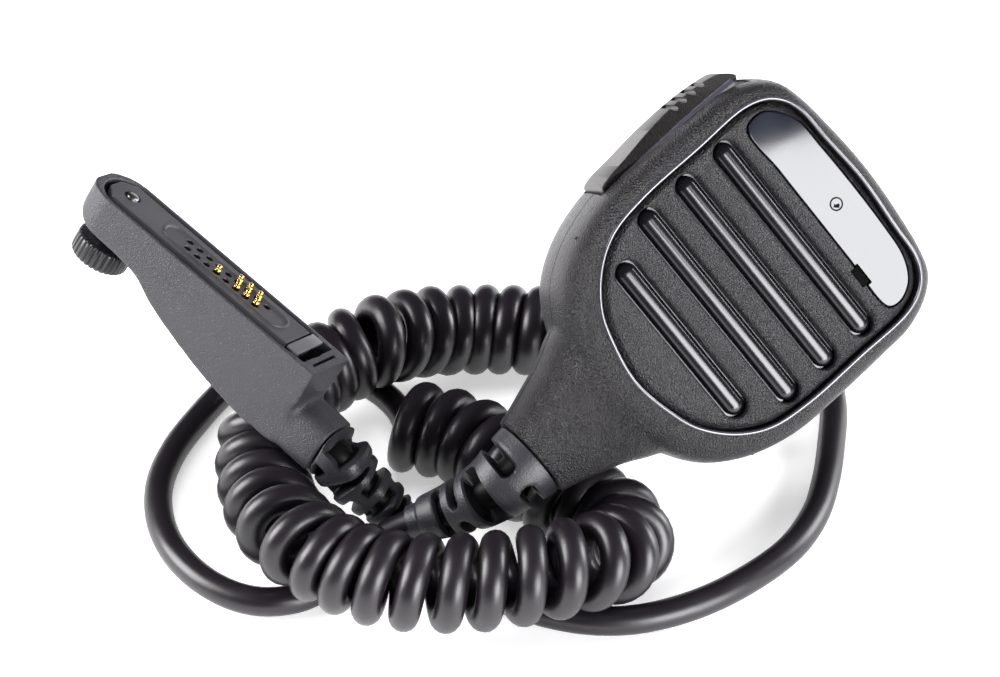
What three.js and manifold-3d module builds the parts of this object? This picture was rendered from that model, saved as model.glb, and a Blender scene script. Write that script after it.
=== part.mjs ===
// Hand microphone (speaker microphone) with a belt clip, a curly cord and a slim screw-on radio connector.
// Millimetres, +Z up. The microphone leans on its belt clip, the cord lies coiled beside it and the
// connector rests across the coil. The origin is under the middle of the microphone, on the surface.
import * as THREE from "three";
import { mergeVertices } from "three/addons/utils/BufferGeometryUtils.js";
import Module from "manifold-3d";

const wasm = await Module();
wasm.setup();

// ---------------------------------------------------------------- driving dimensions
const OFFSET = [-32.1, 41.05, 0]; // moves the whole layout so that the origin is under the microphone

const HEAD_HALF_WIDTH = 30.2;
const HEAD_HALF_HEIGHT = 34.3;
const HEAD_DEPTH = 28.5;
const WALL = 2.2;
const PARTING_Z = -11; // plane between front and rear cover
const GAP = 0.3; // fitted pieces stay this far apart
const NECK_END = -50.3;
const PANEL_TOP = -0.5;
const PANEL_THICKNESS = 1.9;
const SLOT_Y = [14.0, 4.3, -5.4, -15.1];
const SLOT_HALF = [21.3, 21.3, 21.3, 16.5]; // half distance between the centres of the slot ends
const SLOT_WIDTH = 5.3;
const RIB_WIDTH = 4.2;
const PTT_HINGE = [-28.6, -5.9]; // x, y of the talk button's hinge pin
const PTT_Z = [-6.6, -19.4];
const PLUNGER_Y = 10.5;
const SCREWS = [[18.5, 20.5], [-18.5, 20.5], [16, -17], [-16, -17]];
const SPEAKER_RADIUS = 17.8;
const CLIP_PIVOT = [0, 6];
const CLIP_ANGLE = Math.atan2(-0.53, 0.85); // direction of the clip arm in the plane of the back
const CLIP_REACH = 40;
const CLIP_HALF_WIDTH = 6;
const CLIP_PIN = [-5, -37]; // along the arm, and depth

const PLUG_LENGTH = 60;
const PLUG_HALF_WIDTH = 7;
const PIN_PITCH = 2.54;
const PIN_ROWS = [1.3, -1.3];
const PIN_FIRST = 21.7;
const PINS = [[3, 1], [5, 0], [5, 1], [6, 0], [6, 1], [7, 0], [7, 1]]; // place along the row, row
const PIN_RADIUS = 0.55;
const KNOB_X = 7;
const KNOB_RADIUS = 6;

const CORD_RADIUS = 2.85;
const COIL_RADIUS = 9.5;

// Poses of the microphone and of the connector: columns of the turn, then the place of the local origin.
const MIC_TURN = [
  [0.62425, -0.30857, -0.7177],
  [0.74029, 0.52714, 0.41725],
  [0.24958, -0.79178, 0.5575],
];
const MIC_PLACE = [45.82, -48.64, 53.39];
const PLUG_TURN = [
  [0.74891, -0.57138, -0.33565],
  [0.4391, 0.80723, -0.39443],
  [0.49631, 0.14801, 0.85543],
];
const PLUG_PLACE = [-77.3, -17.6, 56.45];

// Centre line of the coiled part of the cord, from its end under the microphone's neck to its end behind the head.
const COIL_POINTS = [
  [-20.7, -38.3, 9.55], [-17.7, -39.0, 9.55], [-12.6, -40.4, 9.55],
  [-7.0, -42.8, 9.55], [0.0, -48.1, 9.55], [6.9, -54.9, 9.55],
  [13.3, -60.1, 9.55], [19.1, -64.0, 9.65], [23.0, -68.9, 10.25],
  [24.0, -74.4, 11.25], [21.3, -79.9, 13.25], [16.2, -84.1, 15.35],
  [9.9, -86.8, 15.95], [4.7, -88.2, 15.95], [-2.4, -89.3, 15.65],
  [-9.9, -89.6, 15.45], [-17.8, -89.1, 15.45], [-24.4, -87.4, 15.45],
  [-30.1, -84.7, 15.65], [-35.6, -80.8, 15.85], [-40.6, -73.8, 14.35],
  [-44.2, -64.9, 11.55], [-46.4, -55.5, 10.25], [-47.1, -47.3, 10.25],
  [-46.2, -40.6, 11.55], [-43.0, -35.4, 13.65], [-38.1, -28.8, 14.05],
  [-32.0, -23.3, 14.45], [-26.2, -19.7, 15.35], [-20.6, -15.4, 13.65],
  [-14.5, -11.3, 11.45], [-8.5, -9.2, 10.05], [-2.7, -8.5, 9.65],
  [3.1, -8.7, 9.65], [9.4, -9.0, 9.65], [15.6, -9.3, 9.65],
  [21.0, -9.7, 9.65],
];
// Lengths along that line at which one coil solid ends and the next starts.
const COIL_CUTS = [5.6, 51, 73, 127, 186];

// Centre lines of the two plain ends of the cord.
const TAIL_MIC = [
  [-23.5, -71.3, 8.9], [-30.5, -75.6, 4.6], [-37.3, -80.3, 3.0], [-44.1, -82.0, 2.98], [-49.9, -80.9, 2.98],
  [-57.0, -76.3, 2.98], [-63.4, -68.3, 2.98], [-67.1, -58.9, 2.98], [-68.0, -48.7, 2.98], [-65.8, -38.3, 2.98],
  [-61.5, -28.5, 2.98], [-57.0, -20.4, 2.98], [-51.8, -13.7, 2.98], [-45.8, -9.6, 2.98], [-39.5, -9.2, 2.98],
  [-33.3, -12.5, 2.98], [-28.0, -17.6, 2.98], [-23.2, -22.5, 2.98], [-20.0, -28.0, 2.98], [-18.8, -33.0, 2.98],
  [-18.6, -37.8, 2.98],
];
const TAIL_PLUG = [
  [-13.0, -70.6, 3.5], [-5.5, -77.3, 3.0], [3.0, -82.4, 2.98], [11.5, -85.8, 2.96], [19.1, -87.1, 2.96],
  [26.9, -86.5, 2.96], [36.6, -83.1, 2.96], [46.3, -77.1, 2.98], [56.6, -67.4, 2.98], [62.3, -57.5, 2.98],
  [65.3, -47.3, 2.98], [67.2, -36.8, 2.98], [68.6, -24.5, 2.98], [67.4, -11.8, 2.98], [62.4, -1.0, 2.98],
  [54.3, 5.3, 2.98], [44.8, 7.3, 3.6], [36.0, 6.0, 6.6], [28.5, 2.2, 11.2], [23.2, -2.6, 15.0], [21.0, -8.2, 16.4],
];
// Centre lines of the two strain reliefs beyond their straight roots.
const RELIEF_MIC = [[-1.3, -70.3, 21.5], [-8.6, -69.7, 16.0], [-17.0, -69.6, 12.0]];
const RELIEF_PLUG = [[-29.1, -61.1, 17.2], [-23.3, -62.6, 11.8], [-18.6, -63.6, 6.8]];

// ---------------------------------------------------------------- helpers
const V = (x, y, z) => new THREE.Vector3(x, y, z);

// A closed geometry as a solid, turned the right way out.
function solid(geometry) {
  const g = geometry.index ? geometry.toNonIndexed() : geometry.clone();
  for (const name of Object.keys(g.attributes)) if (name !== "position") g.deleteAttribute(name);
  const m = mergeVertices(g, 1e-4);
  const make = (triVerts) =>
    new wasm.Manifold(new wasm.Mesh({ numProp: 3, vertProperties: new Float32Array(m.attributes.position.array), triVerts }));
  const tris = new Uint32Array(m.index.array);
  const first = make(tris);
  if (first.volume() >= 0) return first;
  for (let i = 0; i < tris.length; i += 3) [tris[i + 1], tris[i + 2]] = [tris[i + 2], tris[i + 1]];
  return make(tris);
}

function geometryOf(manifold) {
  const m = manifold.getMesh(), n = m.numProp, p = new Float32Array(m.numVert * 3);
  for (let i = 0; i < m.numVert; i++) p.set(m.vertProperties.subarray(i * n, i * n + 3), i * 3);
  const g = new THREE.BufferGeometry();
  g.setAttribute("position", new THREE.BufferAttribute(p, 3));
  g.setIndex(new THREE.BufferAttribute(new Uint32Array(m.triVerts), 1));
  g.computeVertexNormals();
  return g;
}

const unite = (first, ...rest) => rest.reduce((a, b) => a.add(b), first);
const cut = (first, ...rest) => rest.reduce((a, b) => a.subtract(b), first);

function box(x0, x1, y0, y1, z0, z1) {
  return solid(new THREE.BoxGeometry(x1 - x0, y1 - y0, z1 - z0).translate((x0 + x1) / 2, (y0 + y1) / 2, (z0 + z1) / 2));
}

// A round bar along "x", "y" or "z" between two places on that axis.
function bar(axis, radius, from, to, a, b, sides = 16) {
  const g = new THREE.CylinderGeometry(radius, radius, to - from, sides);
  if (axis === "z") g.rotateX(Math.PI / 2).translate(a, b, (from + to) / 2);
  if (axis === "x") g.rotateZ(Math.PI / 2).translate((from + to) / 2, a, b);
  if (axis === "y") g.translate(a, (from + to) / 2, b);
  return solid(g);
}

// A turned piece about a line along Z through (x, y): the profile is a list of [radius, z].
function turned(profile, x, y, sides = 20) {
  const g = new THREE.LatheGeometry(profile.map(([r, z]) => new THREE.Vector2(r, z)), sides);
  return solid(g.rotateX(Math.PI / 2).translate(x, y, 0));
}

// A closed skin over a list of rings of points with flat ends.
function loft(rings) {
  const n = rings[0].length, pos = [], idx = [];
  for (const ring of rings) for (const p of ring) pos.push(p.x, p.y, p.z);
  for (let k = 0; k + 1 < rings.length; k++)
    for (let i = 0; i < n; i++) {
      const a = k * n + i, b = k * n + ((i + 1) % n), c = a + n, d = b + n;
      idx.push(a, b, d, a, d, c);
    }
  for (const [k, flip] of [[0, true], [rings.length - 1, false]]) {
    const c = rings[k].reduce((s, p) => s.add(p), V(0, 0, 0)).multiplyScalar(1 / n);
    pos.push(c.x, c.y, c.z);
    const m = pos.length / 3 - 1;
    for (let i = 0; i < n; i++) {
      const a = k * n + i, b = k * n + ((i + 1) % n);
      flip ? idx.push(m, b, a) : idx.push(m, a, b);
    }
  }
  const g = new THREE.BufferGeometry();
  g.setAttribute("position", new THREE.BufferAttribute(new Float32Array(pos), 3));
  g.setIndex(idx);
  return solid(g);
}

// A smooth closed outline through points, sampled evenly.
function outline(points, count) {
  const curve = new THREE.CatmullRomCurve3(points.map(([x, y]) => V(x, y, 0)), true, "centripetal");
  curve.arcLengthDivisions = 600;
  return curve.getSpacedPoints(count).slice(0, count);
}
const scaled = (points, cx, cy, hx, hy, d, z) =>
  points.map((p) => V(cx + ((p.x - cx) * (hx - d)) / hx, cy + ((p.y - cy) * (hy - d)) / hy, z));

function prism(points, z0, z1) {
  return loft([points.map((p) => V(p.x, p.y, z0)), points.map((p) => V(p.x, p.y, z1))]);
}

// A slot-shaped outline with round ends between two centres on a line along X.
function stadium(x0, x1, y, half, steps = 4) {
  const out = [];
  for (let i = 0; i <= steps; i++) { const a = -Math.PI / 2 + (Math.PI * i) / steps; out.push(V(x1 + half * Math.cos(a), y + half * Math.sin(a), 0)); }
  for (let i = 0; i <= steps; i++) { const a = Math.PI / 2 + (Math.PI * i) / steps; out.push(V(x0 + half * Math.cos(a), y + half * Math.sin(a), 0)); }
  return out;
}

function roundedRect(x0, x1, y0, y1, r, steps = 3) {
  const out = [];
  for (const [cx, cy, a0] of [[x1 - r, y0 + r, -90], [x1 - r, y1 - r, 0], [x0 + r, y1 - r, 90], [x0 + r, y0 + r, 180]])
    for (let i = 0; i <= steps; i++) { const a = ((a0 + (90 * i) / steps) * Math.PI) / 180; out.push(V(cx + r * Math.cos(a), cy + r * Math.sin(a), 0)); }
  return out;
}

function matrixOf(turn, place) {
  const m = new THREE.Matrix4().makeBasis(V(...turn[0]), V(...turn[1]), V(...turn[2]));
  return m.setPosition(place[0] + OFFSET[0], place[1] + OFFSET[1], place[2] + OFFSET[2]);
}
const MIC = matrixOf(MIC_TURN, MIC_PLACE);
const PLUG = matrixOf(PLUG_TURN, PLUG_PLACE);
const world = (p) => V(p[0] + OFFSET[0], p[1] + OFFSET[1], p[2] + OFFSET[2]);

const part = new THREE.Group();
part.name = "hand_microphone";
const micGroup = new THREE.Group();
micGroup.applyMatrix4(MIC);
const plugGroup = new THREE.Group();
plugGroup.applyMatrix4(PLUG);
const cordGroup = new THREE.Group();
part.add(micGroup, plugGroup, cordGroup);

function add(group, name, shape, color, roughness, metalness) {
  const mesh = new THREE.Mesh(geometryOf(shape), new THREE.MeshStandardMaterial({ color, roughness, metalness }));
  mesh.name = name;
  group.add(mesh);
  return mesh;
}
const CASE = [0x2a2b2e, 0.6, 0.0], GLOSS = [0x111113, 0.2, 0.0], RUBBER = [0x1b1b1d, 0.7, 0.0], CONNECTOR = [0x34363b, 0.55, 0.0];
const STEEL = [0xb8b8ba, 0.35, 1.0], GOLD = [0xd9a441, 0.25, 1.0], BOARD = [0x1f5a35, 0.5, 0.0], BRIGHT = [0xc9c9cc, 0.25, 1.0];

// ---------------------------------------------------------------- microphone covers
const half = [[0, 34.8], [12, 34.1], [19.5, 33.1], [24, 31.6], [27.3, 28], [29.7, 21.8], [30.1, 15], [30.3, 2], [30, -8], [28.5, -15], [26, -21], [22, -26.5], [17, -30], [12, -32], [6, -33.5], [0, -34]];
const mirrored = (h) => [...h, ...h.slice(1, -1).reverse().map(([x, y]) => [-x, y])];
const head = outline(mirrored(half), 38);
const headAt = (d, z) => scaled(head, 0, 0, HEAD_HALF_WIDTH, HEAD_HALF_HEIGHT, d, z);
const panelHalf = [[0, 31.2], [11.4, 30.5], [17.5, 30.2], [21, 29], [23.7, 26.5], [25.4, 22], [25.5, 10], [25.4, -4], [24, -12.4], [20.4, -18.4], [14.5, -23.3], [8.5, -25.5], [0, -26.9]];
const panel = outline(mirrored(panelHalf), 30);
const panelAt = (d, z) => scaled(panel, 0, 2.1, 25.4, 29, d, z);

const neckRing = (y, a, b) => {
  const out = [];
  for (let i = 0; i < 18; i++) {
    const t = (i / 18) * 2 * Math.PI, c = Math.cos(t), s = Math.sin(t), e = 2 / 2.6;
    out.push(V(a * Math.sign(c) * Math.abs(c) ** e, y, PARTING_Z + b * Math.sign(s) * Math.abs(s) ** e));
  }
  return out;
};
const NECK = [[-20, 19.6, 10.2], [-26, 18.2, 10.6], [-30, 16.5, 10.9], [-33, 15.2, 10.7], [-38, 12.6, 9.7], [-43, 10.8, 9], [-47.5, 9.3, 8.6], [NECK_END, 8.6, 8.3]];

const shell = unite(
  loft([[7, -HEAD_DEPTH], [4, -27], [1.5, -24], [0, -19], [-0.3, -11], [0, -5.5], [0.5, -3], [1.5, -1.2], [3, -0.3], [4.5, 0]].map(([d, z]) => headAt(d, z))),
  loft(NECK.map((s) => neckRing(...s))),
);
const cavity = cut(
  loft([[7, -26.4], [3.6, -23.4], [WALL, -19], [WALL, -11], [2.6, -4.7]].map(([d, z]) => headAt(d, z))),
  box(-40, -25.0, -11, 30, -40, 5),
);
const neckCavity = loft([[-24, 14.5, 9.2], [-33, 12.6, 8.4], [-40, 9.2, 7.2], [-47.4, 7.0, 6.3]].map((s) => neckRing(...s)));
const pttPocket = box(-40, -26.9, -8.6, 28, -20, -6);
const pttHole = bar("x", 2.1, -29, -24, PLUNGER_Y, -13, 14);
const pinSeat = bar("z", 0.95, -20.9, -5.1, ...PTT_HINGE, 12);
const hollow = unite(cavity, neckCavity, pttPocket, pttHole, pinSeat, bar("y", 5.3, -51, -46, 0, PARTING_Z, 20));

const slab = (z0, z1) => box(-60, 60, -60, 60, z0, z1);
const bossHoles = SCREWS.map(([x, y]) => bar("z", 1.5, -16.4, -7, x, y, 8));
const frontBosses = SCREWS.map(([x, y]) => {
  const reach = x > 0 ? 27.6 : y > 0 ? 26.2 : 27.6, s = Math.sign(x);
  return unite(bar("z", 3, -16.2, -4.9, x, y, 12), box(Math.min(s * reach, x), Math.max(s * reach, x), y - 1, y + 1, -10.7, -4.9));
});
let front = cut(shell.intersect(slab(PARTING_Z + 0.15, 5)), hollow);
front = cut(
  front,
  loft([[-0.1, 1], [0.1, -2.75]].map(([d, z]) => panelAt(d, z))),
  loft([[1.8, -2], [1.8, -7]].map(([d, z]) => panelAt(d, z))),
);
front = cut(unite(front, ...frontBosses), ...bossHoles, loft([[-0.1, 1], [0.1, -2.75]].map(([d, z]) => panelAt(d, z))));
add(micGroup, "front_cover", front, ...CASE);

let rear = cut(shell.intersect(slab(-40, PARTING_Z - 0.15)), hollow);
rear = unite(rear, ...SCREWS.map(([x, y]) => bar("z", 3.3, -27.2, -19.4, x, y, 12)));
rear = cut(
  rear,
  ...SCREWS.map(([x, y]) => bar("z", 1.5, -27.5, -19, x, y, 8)),
  ...SCREWS.map(([x, y]) => bar("z", 2.9, -29, -25.7, x, y, 12)),
);
// groove for the perimeter seal
const sealBand = (d0, d1, z0, z1) => cut(loft([headAt(d0, z0), headAt(d0, z1)]), loft([headAt(d1, z0 - 1), headAt(d1, z1 + 1)]));
const sealKeepOut = (m) => [box(-40, -24.5, -9.8 - m, 29.2 + m, -30, 5), box(-17.5 - m, 17.5 + m, -60, -20, -30, 5)];
rear = cut(rear, cut(sealBand(0.7, 1.6, -12.4, -11), ...sealKeepOut(0)));
add(micGroup, "rear_cover", rear, ...CASE);
const seals = cut(sealBand(1.0, 1.3, -12.05, -10.95), ...sealKeepOut(0.4)).decompose();
seals.sort((a, b) => b.volume() - a.volume());
add(micGroup, "cover_seal_long", seals[0], ...RUBBER);
add(micGroup, "cover_seal_short", seals[1], ...RUBBER);

// ---------------------------------------------------------------- face: panel, ribs, label plate
const windowOutline = outline([[-22.3, 19.9], [-23.1, 23.9], [-21.4, 26.4], [-17.1, 29], [-10, 29.5], [0, 29.7], [10, 29.5], [16.3, 29], [19.8, 27.7], [22, 25.9], [23.4, 22.6], [22.6, 19.9], [10, 19.7], [0, 19.7], [-12, 19.7]], 28);
const windowAt = (d, z) => scaled(windowOutline, 0, 24.6, 23.2, 5, d, z);
const slotCut = (i, half, z0, z1) => prism(stadium(-SLOT_HALF[i], SLOT_HALF[i], SLOT_Y[i], half), z0, z1);
let grille = loft([panelAt(0.35, PANEL_TOP - PANEL_THICKNESS), panelAt(0.35, PANEL_TOP)]);
grille = cut(grille, ...SLOT_Y.map((y, i) => slotCut(i, SLOT_WIDTH / 2, -4, 1)), loft([windowAt(0, -1.6), windowAt(0, 1)]));
grille = cut(grille, box(12.1, 16.3, 18.5, 20.3, -4, 1));
add(micGroup, "grille_panel", grille, ...CASE);
add(micGroup, "label_plate", cut(loft([windowAt(0.3, -1.3), windowAt(0.3, -0.45)]), box(11.8, 16.6, 18, 20.6, -4, 1)), ...GLOSS);
let insert = loft([panelAt(2.25, -4.4), panelAt(2.25, -2.75)]);
insert = unite(insert, ...SLOT_Y.map((y, i) => {
  const foot = stadium(-SLOT_HALF[i], SLOT_HALF[i], y, RIB_WIDTH / 2), top = stadium(-SLOT_HALF[i] + 0.6, SLOT_HALF[i] - 0.6, y, RIB_WIDTH / 2 - 0.75);
  return loft([foot.map((p) => V(p.x, p.y, -3.5)), foot.map((p) => V(p.x, p.y, -1.7)), top.map((p) => V(p.x, p.y, -0.95))]);
}));
insert = cut(insert, ...[9.15, -0.55, -10.25].map((y) => prism(stadium(-15, 15, y, 1.6, 3), -6, 0)));
add(micGroup, "grille_insert", insert, ...GLOSS);

// ---------------------------------------------------------------- loudspeaker, board, capsule
const R = SPEAKER_RADIUS;
add(micGroup, "speaker_gasket", turned([[R - 2, -6.0], [R, -6.0], [R, -4.8], [R - 2, -4.8], [R - 2, -6.0]], 0, 0), ...RUBBER);
add(micGroup, "speaker_cone", turned([[0, -9.6], [4, -9.6], [R - 1.2, -7.0], [R - 1.2, -6.4], [R - 2.4, -6.4], [4, -9.0], [0, -9.0]], 0, 0), ...RUBBER);
add(micGroup, "speaker_frame", turned([[0, -15.6], [8.2, -15.6], [8.2, -12.2], [R - 3, -9.6], [R, -8.6], [R, -7.4], [R - 3.4, -8.0], [7.4, -10.6], [0, -10.6]], 0, 0), ...STEEL);
const boardShape = cut(
  loft([headAt(4.6, -18.6), headAt(4.6, -17.1)]),
  box(-40, -24.0, -40, 40, -30, 0),
  ...SCREWS.map(([x, y]) => bar("z", 3.7, -30, 0, x, y, 12)),
  box(-9, 9, -40, -27.5, -30, 0),
);
add(micGroup, "circuit_board", boardShape, ...BOARD);
add(micGroup, "mic_capsule", bar("z", 3, -13, -7.4, 0, -24, 16), ...STEEL);
add(micGroup, "mic_boot", turned([[3.3, -13.4], [4.4, -13.4], [4.4, -5.4], [1.2, -5.4], [1.2, -6.6], [3.3, -7.0], [3.3, -13.4]], 0, -24, 18), ...RUBBER);

// ---------------------------------------------------------------- talk button
const pttProfile = new THREE.Shape(
  [[-28.9, -4.3], [-27.6, -4.9], [-27.2, -6.1], [-27.8, -7.3], [-29.2, -7.9], [-30.6, -7.9], [-31.3, -6.6], [-31.9, 0], [-32.4, 6], [-32.6, 11.5], [-32.5, 17], [-32.0, 22], [-31.3, 25.4], [-30.3, 26.6], [-29.3, 26.0], [-29.2, 20], [-29.2, 2]].map(([x, y]) => new THREE.Vector2(x, y)),
);
const pttBar = solid(new THREE.ExtrudeGeometry(pttProfile, { depth: PTT_Z[0] - PTT_Z[1] - 1.2, bevelEnabled: true, bevelThickness: 0.6, bevelSize: 0.4, bevelOffset: -0.4, bevelSegments: 1 }).translate(0, 0, PTT_Z[1] + 0.6));
const gripCuts = [14.2, 16.6, 19, 21.4].map((y) => box(-33.4, -32.1 + (y - 14) * 0.03, y - 0.45, y + 0.45, -18.4, -7.6));
const ptt = add(micGroup, "ptt_button", cut(pttBar, bar("z", 0.95, -30, 0, ...PTT_HINGE, 14), ...gripCuts), ...CASE);
add(micGroup, "ptt_hinge_pin", bar("z", 0.65, -20.7, -5.4, ...PTT_HINGE, 12), ...STEEL);
add(micGroup, "ptt_seal", cut(bar("x", 4, -24.7, -23.6, PLUNGER_Y, -13, 16), bar("x", 1.8, -26, -22, PLUNGER_Y, -13, 12)), ...RUBBER);
add(micGroup, "switch_plunger", bar("x", 1.4, -28.85, -21.6, PLUNGER_Y, -13, 12), ...CASE);
add(micGroup, "ptt_switch", cut(box(-23.2, -18.4, PLUNGER_Y - 3, PLUNGER_Y + 3, -16.8, -10), bar("x", 1.75, -24, -20.2, PLUNGER_Y, -13, 12)), ...STEEL);

// ---------------------------------------------------------------- screws, cord clamp
SCREWS.forEach(([x, y], i) => add(micGroup, "cover_screw_" + (i + 1), unite(bar("z", 2.5, -27.9, -26.0, x, y, 12), bar("z", 1.15, -26.2, -9, x, y, 8)), ...STEEL));
add(micGroup, "cable_clamp", cut(box(-5.2, 5.2, -42.4, -39.2, -15.6, -6.4), bar("y", 3, -44, -38, 0, PARTING_Z, 14)), ...STEEL);

// ---------------------------------------------------------------- belt clip
const clip = new THREE.Group();
clip.position.set(CLIP_PIVOT[0], CLIP_PIVOT[1], 0);
clip.rotation.z = CLIP_ANGLE;
micGroup.add(clip);
add(clip, "clip_mount", cut(turned([[0, -31.0], [9.8, -31.0], [10.6, -30.4], [10.6, -28.8], [0, -28.8]], 0, 0), bar("z", 3.4, -35, -29.8, 0, 0, 16)), ...CASE);
add(clip, "clip_swivel_plate", unite(
  turned([[0, -33.7], [9.6, -33.7], [10.4, -33.1], [10.4, -31.3], [3.1, -31.3], [3.1, -30.1], [0, -30.1]], 0, 0),
  cut(box(-9.2, -1.2, 5.5, 7.5, -39, -32.4), bar("y", 1.3, 5, 8, CLIP_PIN[0], CLIP_PIN[1], 12)),
  cut(box(-9.2, -1.2, -7.5, -5.5, -39, -32.4), bar("y", 1.3, -8, -5, CLIP_PIN[0], CLIP_PIN[1], 12)),
), ...CASE);
add(clip, "clip_pin", bar("y", 1.0, -7.8, 7.8, CLIP_PIN[0], CLIP_PIN[1], 12), ...STEEL);
const armPlan = loft([roundedRect(-13, CLIP_REACH, -4.9, 4.9, 1.2).map((p) => V(p.x, p.y, -40.5)), roundedRect(-13, CLIP_REACH, -4.9, 4.9, 1.2).map((p) => V(p.x, p.y, -38.3))]);
const armWide = loft([roundedRect(0.5, CLIP_REACH, -CLIP_HALF_WIDTH, CLIP_HALF_WIDTH, 2).map((p) => V(p.x, p.y, -40.5)), roundedRect(0.5, CLIP_REACH, -CLIP_HALF_WIDTH, CLIP_HALF_WIDTH, 2).map((p) => V(p.x, p.y, -38.3))]);
const armHub = unite(bar("y", 2.3, -4.9, 4.9, CLIP_PIN[0], CLIP_PIN[1], 16), box(-7.3, -2.7, -4.9, 4.9, -40, -37));
const armTip = box(CLIP_REACH - 6, CLIP_REACH - 3.4, -CLIP_HALF_WIDTH + 0.6, CLIP_HALF_WIDTH - 0.6, -39, -34.6);
const springPocket = box(-3.6, 3.0, -3.2, 3.2, -38.9, -34);
add(clip, "clip_arm", cut(unite(armPlan, armWide, armHub, armTip), bar("y", 1.3, -9, 9, CLIP_PIN[0], CLIP_PIN[1], 14), springPocket), ...CASE);
add(clip, "clip_spring", unite(box(-1.8, 2.4, -2.4, 2.4, -38.5, -38.0), box(1.6, 2.4, -2.4, 2.4, -38.3, -34.2), box(-1.8, 2.4, -2.4, 2.4, -34.6, -34.05)), ...BRIGHT);

// ---------------------------------------------------------------- strain reliefs
// A boot with collars: rings across a centre line, each [length along the line, radius].
function boot(points, rings, sides = 10, flat = 1) {
  const curve = new THREE.CatmullRomCurve3(points, false, "centripetal");
  curve.arcLengthDivisions = 400;
  const total = curve.getLength();
  return loft(rings.map(([s, r]) => {
    const t = Math.min(s / total, 1), p = curve.getPointAt(t), d = curve.getTangentAt(t);
    const side = V(0, 0, 1).cross(d).normalize(), up = d.clone().cross(side);
    return Array.from({ length: sides }, (_, i) => {
      const a = ((i + 0.5) / sides) * 2 * Math.PI;
      return p.clone().addScaledVector(side, r * Math.cos(a)).addScaledVector(up, r * flat * Math.sin(a));
    });
  }));
}
const collars = (s0, s1, r0, r1, count, neck) => {
  const out = [], step = (s1 - s0) / count;
  for (let i = 0; i < count; i++) {
    const s = s0 + i * step, r = r0 + ((r1 - r0) * i) / (count - 1);
    out.push([s, r], [s + step * 0.62, r - 0.2], [s + step * 0.68, neck * r], [s + step * 0.98, neck * r]);
  }
  return out;
};
const micRoot = V(0, NECK_END - GAP, PARTING_Z).applyMatrix4(MIC);
const micRoot2 = V(0, NECK_END - 4, PARTING_Z).applyMatrix4(MIC);
const micInner = V(0, -45.6, PARTING_Z).applyMatrix4(MIC);
const micLine = [micInner, micRoot, micRoot2, ...RELIEF_MIC.map(world)];
const micBoot = boot([micRoot, micRoot2, ...RELIEF_MIC.map(world)], [[0, 7.9], [4.6, 7.5], [5.0, 5.2], [6.4, 5.2], ...collars(6.5, 24, 6.9, 4.7, 3, 0.7), [24.2, 3.9], [99, 3.5]]);
const micStem = loft([[-50.9, 4.9], [-47.2, 4.9], [-47.1, 5.9], [-45.4, 5.9]].map(([y, r]) => {
  return Array.from({ length: 16 }, (_, i) => V(r * Math.cos((i / 16) * 2 * Math.PI), y, PARTING_Z + r * Math.sin((i / 16) * 2 * Math.PI)).applyMatrix4(MIC));
}));
add(cordGroup, "mic_strain_relief", cut(unite(micBoot, micStem)), ...RUBBER);

// ---------------------------------------------------------------- connector
const side = [[-0.6, 0], [-0.6, -4.6], [0.4, -6.2], [3.2, -7.6], [17.9, -9], [23.9, -11.8], [28.4, -13.4], [32.8, -14.8], [39.8, -16.7], [45.9, -17.8], [51.7, -18.6], [57.4, -19.0], [PLUG_LENGTH, -18.6], [PLUG_LENGTH, 0]];
const sideShape = new THREE.Shape(side.map(([x, z]) => new THREE.Vector2(x, z)));
const wedge = solid(new THREE.ExtrudeGeometry(sideShape, { depth: 2 * PLUG_HALF_WIDTH - 1, bevelEnabled: true, bevelThickness: 0.5, bevelSize: 0.5, bevelOffset: -0.5, bevelSegments: 1 }).rotateX(Math.PI / 2).translate(0, PLUG_HALF_WIDTH - 0.5, 0));
const planRing = (d, z) => [...Array.from({ length: 13 }, (_, i) => { const a = Math.PI / 2 + (Math.PI * i) / 12; return V(6.2 + (PLUG_HALF_WIDTH - d + 0.2) * Math.cos(a), (PLUG_HALF_WIDTH - d) * Math.sin(a), z); }), V(PLUG_LENGTH + 2, -(PLUG_HALF_WIDTH - d), z), V(PLUG_LENGTH + 2, PLUG_HALF_WIDTH - d, z)];
const planBody = loft([planRing(1.6, -20), planRing(0, -6), planRing(0, 0.01)]);
const bossRing = (x, a, b, z) => Array.from({ length: 16 }, (_, i) => { const t = ((i + 0.5) / 16) * 2 * Math.PI, c = Math.cos(t), s = Math.sin(t), e = 2 / 3; return V(x, a * Math.sign(c) * Math.abs(c) ** e, z + b * Math.sign(s) * Math.abs(s) ** e); });
let housing = unite(wedge.intersect(planBody), loft([bossRing(56, 5.6, 5.2, -13.6), bossRing(66, 5.4, 5.0, -13.8), bossRing(68.2, 5.0, 4.7, -13.9)]));
const pocket = prism(stadium(7.2, 50.4, 0, 6.1, 8), -5.2, 1);
housing = cut(
  housing, pocket, box(50, 56.5, -5.6, 5.6, -5.2, 1), box(57.7, 58.4, -4.2, 4.2, -1.4, 1),
  box(22.5, 54, -5, 5, -8.6, -5), bar("z", 2.3, -25, 2, KNOB_X, 0, 16), bar("x", 3.0, 52, 70, 0, -13.9, 12), box(50, 53.4, -2.6, 2.6, -15, -8),
);
add(plugGroup, "plug_housing", housing, ...CONNECTOR);
const pinPlaces = PINS.map(([i, row]) => [PIN_FIRST + PIN_PITCH * i + (row ? 1.1 : 0), PIN_ROWS[row]]);
const plate = unite(prism(stadium(7.2, 45.6, 0, 4.8, 8), -2.3, -0.8), box(44, 51.2, -4.8, 4.8, -2.3, -0.8), prism(stadium(19, 45, 0, 3), -1.4, 0.3));
add(plugGroup, "contact_plate", cut(plate, bar("z", 1.75, -25, 2, KNOB_X, 0, 16), ...pinPlaces.map(([x, y]) => bar("z", 0.86, -4, 2, x, y, 8))), ...CONNECTOR);
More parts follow.
